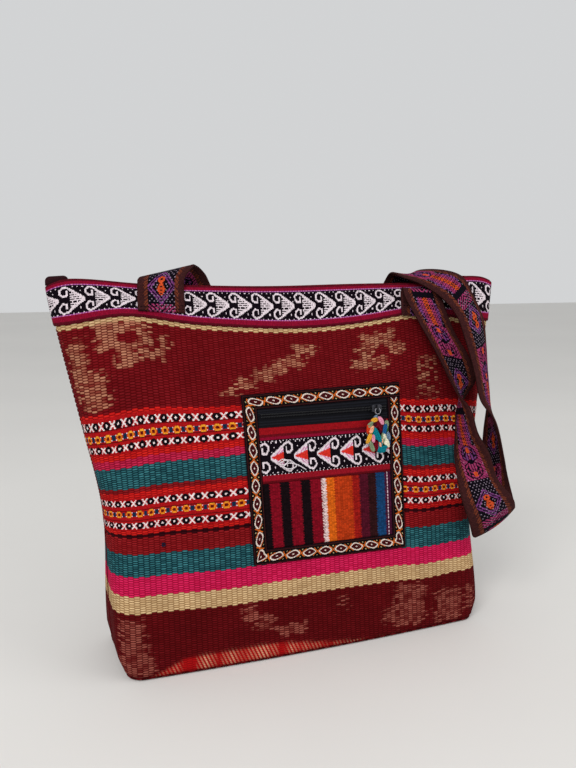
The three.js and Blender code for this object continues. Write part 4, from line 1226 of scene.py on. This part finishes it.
def figure(x, t, out):
    """A double lozenge round an orange figure: a ring for its head and a dotted body."""
    y = np.abs(t)
    here = (x > 91) & (x < 120)
    rim = np.abs(x - 105.5) / 14.5 + y / 11.8
    for share in (1.0, 0.76):
        out[here & (np.abs(rim - share) < 0.055)] = STRAP["violet"]
    out[here & (np.hypot(x - 99.8, t) < 3)] = STRAP["orange"]
    out[here & (np.hypot(x - 99.8, t) < 1.1)] = STRAP["black"]
    bulk = np.abs(x - 107.5) / 6.4 + y / 3.8
    out[here & (bulk < 1)] = STRAP["orange"]
    out[here & (bulk < 0.75) & (np.abs(y - 0.9) < 0.5) & ((x % 3) < 1.2)] = STRAP["black"]


print("colours of the strap:", len(STRAP))

# %% Strap pattern
def strap_paint(total):
    """The pattern of a strap of this length, counted from its right end."""
    def paint(s, t):
        x = (total - s - 19) % REPEAT
        x = np.where(s < LEFT_PART, (127 - s) % REPEAT, x)
        out = np.tile(STRAP["brown"], (len(s), 1))
        edge = np.abs(t)
        zigzag = edge + 0.7 * np.sign(np.sin(s * 2 * np.pi / 3.2))
        out[zigzag < 14.6] = STRAP["rust"]
        out[(zigzag < 14.6) & (((s + edge) % 3.2) < 1.5)] = STRAP["brown"]
        middle = edge < FIGURE_HALF
        part = np.tile(STRAP["black"], (middle.sum(), 1))
        xm, tm = x[middle], t[middle]
        row = np.floor(xm / 2.4)
        part[(xm % 2.4 < 0.95) & ((tm + 40 + 1.7 * (row % 2)) % 3.4 < 0.95)] = STRAP["white"]
        part[(xm > 11) & (xm < 17)] = STRAP["black"]
        slant_stripes(xm, tm, part)
        lattice(xm, tm, part)
        hooks(xm, tm, part)
        figure(xm, tm, part)
        out[middle] = part
        return out
    return paint


print("repeat of the strap:", REPEAT, "mm")

# %% [markdown]
# ## The two straps
# Now the bands are laid between their edges. Cloth that hangs over its edge cups a little, so the
# middle of the free part bulges out by a few millimetres. Both faces of the band carry the pattern.

# %% Strap bands
SAMPLES = 24   # between two pairs of points


def strap(name, route, node_name, size, cup):
    """A band between the two edges of a route. cup is how far its middle bulges out, along the band."""
    e1, e2 = (centripetal(np.array([pair[i] for pair in route]), SAMPLES) for i in (0, 1))
    centre = (e1 + e2) / 2
    length = run_along(centre)
    across = (e2 - e1) / np.linalg.norm(e2 - e1, axis=1)[:, None]
    face = np.cross(np.gradient(centre, axis=0), across)
    face /= np.linalg.norm(face, axis=1)[:, None]

    def at(s, table):
        return np.stack([np.interp(s, length, table[:, i]) for i in range(3)], axis=-1)

    def place(s, t, off):
        a, b, out = at(s, e1), at(s, e2), at(s, face)
        out /= np.linalg.norm(out, axis=-1)[..., None]
        share = (t / STRAP_WIDTH + 0.5)[..., None]
        bulge = cup(s, length[-1]) * (1 - (2 * t / STRAP_WIDTH) ** 2)
        return a + (b - a) * share + out * (off + bulge)[..., None]

    paint = strap_paint(length[-1])
    obj = lay(name, steps(0, length[-1], size), steps(-STRAP_WIDTH / 2, STRAP_WIDTH / 2, size), place,
              -STRAP_THICK / 2, STRAP_THICK / 2, STRAP_BAND, paint, paint, rim="24100F")
    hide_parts(node_name)
    print(name, "length", round(length[-1]), "mm")
    return obj


def front_cup(s, total):
    """Only the part that hangs free in front of the right corner is cupped."""
    return 3.5 * ease(total - 560, total - 480, s) * (1 - ease(total - 110, total - 60, s))


def back_cup(s, total):
    """All of it but its sewn ends."""
    return 2.0 * ease(60, 130, s) * (1 - ease(total - 130, total - 60, s))


strap("front_strap_band", front_route, "front_strap", 0.95, front_cup)
strap("back_strap_band", back_route, "back_strap", 1.1, back_cup)

# %% [markdown]
# ## Base and side seams
# The base is one flat piece of the same cloth. A plane cut to the outline would do, but its edge
# would not quite meet the panels. So it is laid between the bottom edges of the front and the back.
# Where front and back meet at the sides, an overcast seam of thick thread closes the gap.

# %% Base and seams
SEAM_TOP, OVERCAST, SEAM_STITCH = 36, 3.2, 1.8   # below the lip, from stitch to stitch, and its slant


def base_place(f, share, off):
    """A point of the base, at a share of the way from the front panel to the back one."""
    a = on_panel(f, CLOTH + SEW_GAP, -1.2, FRONT)
    b = on_panel(f, CLOTH + SEW_GAP, -1.2, BACK)
    p = a + (b - a) * np.asarray(share)[..., None]
    p[..., 2] = CLOTH - off
    return p


base = lay("base_panel_cloth", panel_columns, steps(0, 1, 0.04), base_place, 0, CLOTH, BODY_CLOTH,
           uv=lambda f, share: (f * BASE_WIDTH / 2, share * 50))
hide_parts("base_panel")


def side_seam(sign):
    """Stitches that go over the edge from the front panel to the back one."""
    lines = []
    for v in np.arange(4, HEIGHT - SEAM_TOP, OVERCAST):
        a = on_panel(sign * 0.993, v, 0.1, FRONT)
        b = on_panel(sign * 0.993, v + SEAM_STITCH, 0.1, BACK)
        top = on_panel(sign * seam, v + 0.9, 0.3, FRONT)
        lines.append([a, (a + top) / 2, top, (b + top) / 2, b])
    word = "left" if sign < 0 else "right"
    return tubes(f"{word}_side_seam", lines, 0.4, 6, ["5A0A12"] * len(lines), THREAD)


for sign in (-1, 1):
    side_seam(sign)
print("faces of the base:", len(base.data.polygons))

# %% [markdown]
# ## Zips
# Each half of a zip is a woven tape and a nylon coil. The coil is one long wire that winds round and
# round. A single turn with an array would leave cuts between the turns, so it is one tube along a
# flattened helix. The places of the mouth zip come from the plain model's own boxes.

# %% Mouth zip
COIL_TURN, COIL_WIRE, TURN_STEPS = 1.5, 0.3, 9   # millimetres to a turn, and half the wire


def coil(name, node_name, frame_of, start_x, end_x, near, far, foot, top):
    """A helix that fills the box of one coil half, given in the zip's own frame."""
    turns = (end_x - start_x) / COIL_TURN
    angle = np.linspace(0, 2 * np.pi * turns, int(turns * TURN_STEPS))
    middle, reach = (near + far) / 2, abs(far - near) / 2 - COIL_WIRE
    height, lift = (foot + top) / 2, (top - foot) / 2 - COIL_WIRE
    local = np.stack([start_x + COIL_WIRE + (end_x - start_x - 2 * COIL_WIRE) * angle / angle[-1],
                      middle + reach * np.cos(angle), height + lift * np.sin(angle)], axis=-1)
    obj = tubes(name, [frame_of(local)], COIL_WIRE, 5, ["101014"], NYLON)
    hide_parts(node_name)
    return obj


def zip_box(node_name):
    """The two corners of a plain piece, in millimetres."""
    low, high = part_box(node_name)
    return np.array(low) / MM, np.array(high) / MM


for word in ("front", "back"):
    low, high = zip_box(f"mouth_zip_coil_{word}")
    coil(f"mouth_coil_{word}", f"mouth_zip_coil_{word}", lambda p: p,
         low[0], high[0], low[1], high[1], low[2], high[2])
    low, high = zip_box(f"mouth_zip_tape_{word}")

    def place(x, y, off, floor_z=low[2]):
        return np.stack([x, y, floor_z + off], axis=-1)
    tape = lay(f"mouth_tape_{word}", steps(low[0], high[0], 2.5), steps(low[1], high[1], 0.9), place,
               0, high[2] - low[2], ZIP_TAPE, tape_paint, rim="101014")
    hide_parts(f"mouth_zip_tape_{word}")
print("turns of the mouth coil:", int((high[0] - low[0]) / COIL_TURN))

# %% Pocket zip
# The pocket's coil lies in a frame that leans with the panel: up the panel, and straight out of it.
coil_left, coil_right = pocket_edges(POCKET_ZIP_Z)
coil_y = min(panel_at(x, POCKET_ZIP_Z, 1.4)[1] for x in steps(coil_left, coil_right, 31))
pocket_origin = np.array([SLIDER_X, coil_y, POCKET_ZIP_Z])
lean = panel_at(SLIDER_X, POCKET_ZIP_Z + 8) - panel_at(SLIDER_X, POCKET_ZIP_Z - 8)
lean[0] = 0
pocket_up = lean / np.linalg.norm(lean)
pocket_out = np.cross([1, 0, 0], pocket_up)


def on_pocket(local):
    """A point given along the pocket's zip, up the panel and out of it."""
    along, up, out = np.split(np.asarray(local, float), 3, axis=-1)
    return pocket_origin + along * [1, 0, 0] + up * pocket_up + out * pocket_out


COIL_INSET, COIL_WIDTH, COIL_HEIGHT = 2, 1.85, 1.8
for word, side in (("lower", -1), ("upper", 1)):
    coil(f"pocket_coil_{word}", f"pocket_zip_coil_{word}", on_pocket,
         coil_left + COIL_INSET - SLIDER_X, coil_right - COIL_INSET - SLIDER_X,
         side * COIL_GAP / 2, side * (COIL_GAP / 2 + COIL_WIDTH), 0, COIL_HEIGHT)
print("the pocket zip leans by", round(float(np.degrees(np.arccos(pocket_up[2]))), 1), "degrees")

# %% [markdown]
# ## End tab, sliders and ring
# The tail of the mouth zip ends in a folded cloth tab with a round head. A bevelled box could give
# it, but its ledge must fit the corner of the mouth, so we walk round its outline. The sliders, the
# pull and the ring are already finished shapes in the plain model. They only need their metal.

# %% End tab and metal
TAB_LAYERS = [(-1.5, 0.94), (-1.1, 1.0), (1.1, 1.0), (1.5, 0.94)]   # places through the tab, and sizes


def tab_outline():
    """The tab's outline, walked anticlockwise: its root in the mouth, then its head over the lip."""
    corner = -TOP_SHIFT - TOP_WIDTH / 2
    root, head, right = corner + CLOTH + 1.5, corner - 1.5, corner + CLOTH + 14.5
    ledge, floor_z, top = HEIGHT + float(wave(-1, HEIGHT)) + 0.9, HEIGHT - 10, HEIGHT + 8
    turn = np.linspace(0, np.pi / 2, 7)
    r = (top - ledge) / 2
    right_bow = [(right - r + r * np.cos(a), top - r + r * np.sin(a)) for a in turn]
    left_bow = [(head + r - r * np.sin(a), top - 0.6 - r + r * np.cos(a)) for a in turn]
    foot, step = [(root + CLOTH, floor_z), (right, floor_z)], [(head, ledge), (root, ledge)]
    return np.array(foot + right_bow + left_bow + step)


def end_tab():
    """The outline in four layers: the two outer ones are a little smaller, which rounds the edge."""
    outline = tab_outline()
    middle = outline.mean(axis=0)
    points, uv = [], []
    for y, share in TAB_LAYERS:
        p = middle + (outline - middle) * share
        points += [(x, y, z) for x, z in p]
        uv += [(x, z) for x, z in p]
    n = len(outline)
    faces = [[k * n + i, k * n + (i + 1) % n, (k + 1) * n + (i + 1) % n, (k + 1) * n + i]
             for k in range(3) for i in range(n)]
    faces += [list(range(n))[::-1], [3 * n + i for i in range(n)]]
    brown = linear("2E1418")[None]
    obj = finish_mesh("mouth_end_tab", np.array(points), faces, np.array(uv), brown, RIBBON)
    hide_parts("mouth_zip_end_tab")


end_tab()
FINISHES = {"mouth_zip_slider": BRASS, "mouth_zip_pull": BRASS,
            "pocket_zip_slider": DARK_METAL, "pocket_pull_ring": NICKEL}
for node_name, finish in FINISHES.items():
    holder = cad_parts[node_name].material_slots[0]
    holder.link = "OBJECT"
    holder.material = finish
print("zip parts with new finishes:", len(FINISHES))

# %% [markdown]
# ## The tassel
# The pull of the pocket zip is a tassel of thick plied yarn in many colours. Each yarn is a small
# closed loop. Hair or scattered copies would fill it faster, but their colours would fall by chance,
# and the colours are what the eye finds first: yellow and orange at the left, dark red in the middle,
# teal and blue at the right and at the bottom. So we place each loop one by one.

# %% Yarn colours and places
YARNS = {
    "yellow": "DA9C30", "teal": "0C7684", "blue": "1E5686", "crimson": "6A0C1C", "cream": "E0DCC2",
    "sage": "7C8C6C", "orange": "C43818", "pink": "DC8EA6", "maroon": "400E1C", "sky": "667E94",
    "green": "2A5E2C", "peach": "EAA884",
}
# Each yarn: across and down from the top, its lean in degrees, half its length, and how far out.
LOOPS = [
    (0, 3.8, 60, 1.6, 0.8, "sky"), (-1.6, 5.8, 10, 2.6, 1.5, "yellow"), (4.7, 7, 118, 3.6, 2, "pink"),
    (8.7, 8, 80, 2.4, 0, "maroon"), (-6.0, 10, 40, 3.0, 1, "sage"), (10.5, 11, 84, 3.4, 1, "sage"),
    (1, 9.5, 60, 3.6, 0.8, "crimson"), (3.5, 12, 110, 4.2, 1, "crimson"),
    (-1.5, 11.5, 95, 4.0, 0.6, "maroon"), (6.8, 11, 90, 3.6, 0, "crimson"),
    (-8.2, 14, 82, 3.4, 1, "orange"), (-5.4, 14.5, 60, 2.8, 2, "peach"), (-3.6, 17, 40, 2.6, 1, "green"),
    (8.2, 15.5, 75, 4.6, 1.8, "blue"), (4.6, 15, 90, 3.4, 0.6, "maroon"),
    (10.4, 14.5, 95, 3.4, 0, "green"), (0.4, 20, 112, 6.8, 2.4, "teal"),
    (-1.6, 19, 105, 4.6, 1.4, "teal"), (-8.4, 22.5, 62, 4.4, 1.5, "yellow"),
    (-3.8, 22.8, 88, 3.0, 1.2, "pink"), (5.8, 23, 80, 4.4, 1.8, "sage"),
    (7.6, 24.5, 98, 4.6, 2.4, "cream"), (12, 22, 95, 3.4, 0.6, "sky"), (9.8, 28, 112, 3.6, 2, "cream"),
    (3.6, 27, 85, 3.6, 1.6, "peach"), (-5.6, 30, 108, 4.4, 1, "sage"), (-1.2, 30, 92, 3.8, 1, "crimson"),
    (2.4, 31, 70, 4.0, 1.5, "teal"), (6, 32.5, 20, 4.0, 1.8, "teal"), (4.4, 34.6, 8, 3.6, 1.2, "teal"),
    (8.4, 30.5, 60, 3.0, 0.4, "green"), (0, 24, 92, 7.5, -1.4, "crimson"),
    (-4.6, 24, 90, 7.0, -1.4, "maroon"), (5, 24, 90, 7.0, -1.4, "maroon"),
    (9.4, 20, 92, 6.5, -1.4, "teal"), (-5.5, 14, 70, 4.5, -1.2, "maroon"),
    (0, 10.5, 90, 4.5, -1.2, "maroon"), (5.5, 11.5, 100, 4.5, -1.2, "crimson"),
    (12, 27, 100, 3.0, -0.6, "blue"),
]
tassel_top = on_pocket([-3.6, -4.6, 6.0])
print("yarns:", len(LOOPS), "colours:", len(YARNS))

# %% Tassel
YARN_RADIUS, LOOP_HALF_WIDTH, LOOP_POINTS = 1.15, 1.05, 14


def loop(across, down, lean_angle, half, lift):
    """A narrow ring of points round the middle of one yarn."""
    a = np.radians(lean_angle)
    theta = np.linspace(0, 2 * np.pi, LOOP_POINTS, endpoint=False)
    along, wide = half * np.cos(theta), LOOP_HALF_WIDTH * np.sin(theta)
    x = across + along * np.cos(a) - wide * np.sin(a)
    y = -down + along * np.sin(a) + wide * np.cos(a)
    z = lift + 0.5 * np.sin(2 * theta + across)
    return tassel_top + x[:, None] * [1, 0, 0] + y[:, None] * pocket_up + z[:, None] * pocket_out


tassel = tubes("pocket_yarn_tassel", [loop(*row[:5]) for row in LOOPS], YARN_RADIUS, 8,
               [YARNS[row[5]] for row in LOOPS], YARN, closed=True, body="tassel")
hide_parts("pocket_tassel")
print("faces of the tassel:", len(tassel.data.polygons))

# %% [markdown]
# ## Stitches
# Dark stitches hold the pocket's ribbon and the ends of the straps. A bump line could hint at them,
# but each one is a short arched piece of thread here, which catches the light by itself.

# %% Stitches
def stitch_row(points_at, count, length, rise=0.25):
    """Short arched stitches along a path that points_at(share, lift) describes."""
    lines = []
    for i in range(count):
        a, b = (i + 0.2) / count, (i + 0.2 + length) / count
        lines.append([points_at(a, 0.0), points_at((a + b) / 2, rise), points_at(b, 0.0)])
    return lines


def pocket_line(inset, a0, a1, off=1.85):
    """A straight line on the pocket's ribbon, between two corners given as shares."""
    def at(share, lift):
        a, b = a0[0] + (a1[0] - a0[0]) * share, a0[1] + (a1[1] - a0[1]) * share
        x, z = pocket_point(inset + a * (1 - 2 * inset), inset + b * (1 - 2 * inset))
        return panel_at(x, z, off + lift)
    return at


pocket_stitches = []
for corner_a, corner_b in (((0, 1), (1, 1)), ((0, 0), (0, 1)), ((0, 0), (1, 0)), ((1, 0), (1, 1))):
    pocket_stitches += stitch_row(pocket_line(0.011, corner_a, corner_b), 46, 0.6)
stitches = tubes("pocket_edge_stitches", pocket_stitches, 0.22, 5, ["1C0C10"] * len(pocket_stitches), THREAD)

strap_face = strap_off + STRAP_THICK / 2 + 0.1


def strap_end_line(centre_x, drop, side):
    """A straight line across a sewn end of a strap, 1 mm short of its edges."""
    reach = STRAP_WIDTH - 2

    def at(share, lift):
        return panel_at(centre_x - reach / 2 + reach * share, HEIGHT - drop, strap_face + lift, side)
    return at


strap_stitches = []
for side in (FRONT, BACK):
    for sign in (-1, 1):
        for drop in (17.5, 20.5):
            line = strap_end_line(mouth_centre + sign * STRAP_SPREAD, drop, side)
            strap_stitches += stitch_row(line, 13, 0.65)
sewn = tubes("strap_end_stitches", strap_stitches, 0.28, 5, ["1A0E12"] * len(strap_stitches), THREAD)

print("stitches:", len(pocket_stitches) + len(strap_stitches))

# %% [markdown]
# ## Small signs of use
# A white thread has worked itself loose from the pocket band, and a knot of blue thread shows in the
# dark red stripe at the left. A thread this short doesn't hang, so no simulation is needed: it lies
# in a few curls on the cloth, drawn through points.

# %% Loose threads
snag_shape = [
    (-34, 176), (-29, 179), (-24, 177), (-27, 174), (-32, 175), (-27, 178), (-21, 177), (-16, 172),
    (-22, 170), (-28, 172), (-24, 175), (-15, 173), (-7, 168),
]
snag_points = [panel_at(x, z, 2.0 + 0.6 * (i % 3)) for i, (x, z) in enumerate(snag_shape)]
snag_line = centripetal(np.array(snag_points), 6)
snag = tubes("loose_white_thread", [snag_line], 0.5, 6, ["E4DCE0"], THREAD)
knot_points = [panel_at(-138 + 1.6 * np.cos(a), 116 + 1.3 * np.sin(a), 0.5 + 0.25 * a) for a in (0, 2, 4, 6)]
knot_line = centripetal(np.array(knot_points), 6)
knot = tubes("blue_thread_knot", [knot_line], 0.6, 6, ["141C30"], THREAD)
print("loose thread:", round(run_along(snag_line)[-1]), "mm, knot:", round(run_along(knot_line)[-1]), "mm")

# %% [markdown]
# ## Stage and light
# The photograph has soft, even light. A sky picture could give such light, but plain area lights
# are easier to judge. A pale floor and a pale background keep the eye on the cloth. One large
# soft light stands at the left of the camera and a weaker one at the right, so that the folds keep a
# gentle shade.

# %% Stage
bpy.ops.mesh.primitive_plane_add(size=12, location=(0, 0, 0))
floor = bpy.context.object
floor.name = "Floor"
floor.data.materials.append(worn("Studio floor, matt paper", "DAD8D4", "DEDCD8", 0.7, 0.0, 0.002))


def soft_light(name, place, aim, size, power):
    """A square light that faces a point."""
    data = bpy.data.lights.new(name, "AREA")
    data.size = size
    data.energy = power
    light = bpy.data.objects.new(name, data)
    bpy.context.collection.objects.link(light)
    light.location = place
    light.rotation_euler = (Vector(aim) - Vector(place)).to_track_quat("-Z", "Y").to_euler()
    return light


BAG_MIDDLE = (0, 0, 0.15)
soft_light("Key light", (-1.3, -1.6, 1.7), BAG_MIDDLE, 1.2, 38)
soft_light("Fill light", (1.6, -1.2, 1.0), BAG_MIDDLE, 1.4, 10)
world = bpy.context.scene.world or bpy.data.worlds.new("World")
bpy.context.scene.world = world
world.use_nodes = True
backdrop = world.node_tree.nodes["Background"]
backdrop.inputs["Color"].default_value = (0.86, 0.87, 0.88, 1)
backdrop.inputs["Strength"].default_value = 0.75
print("lights:", len(bpy.data.lights))
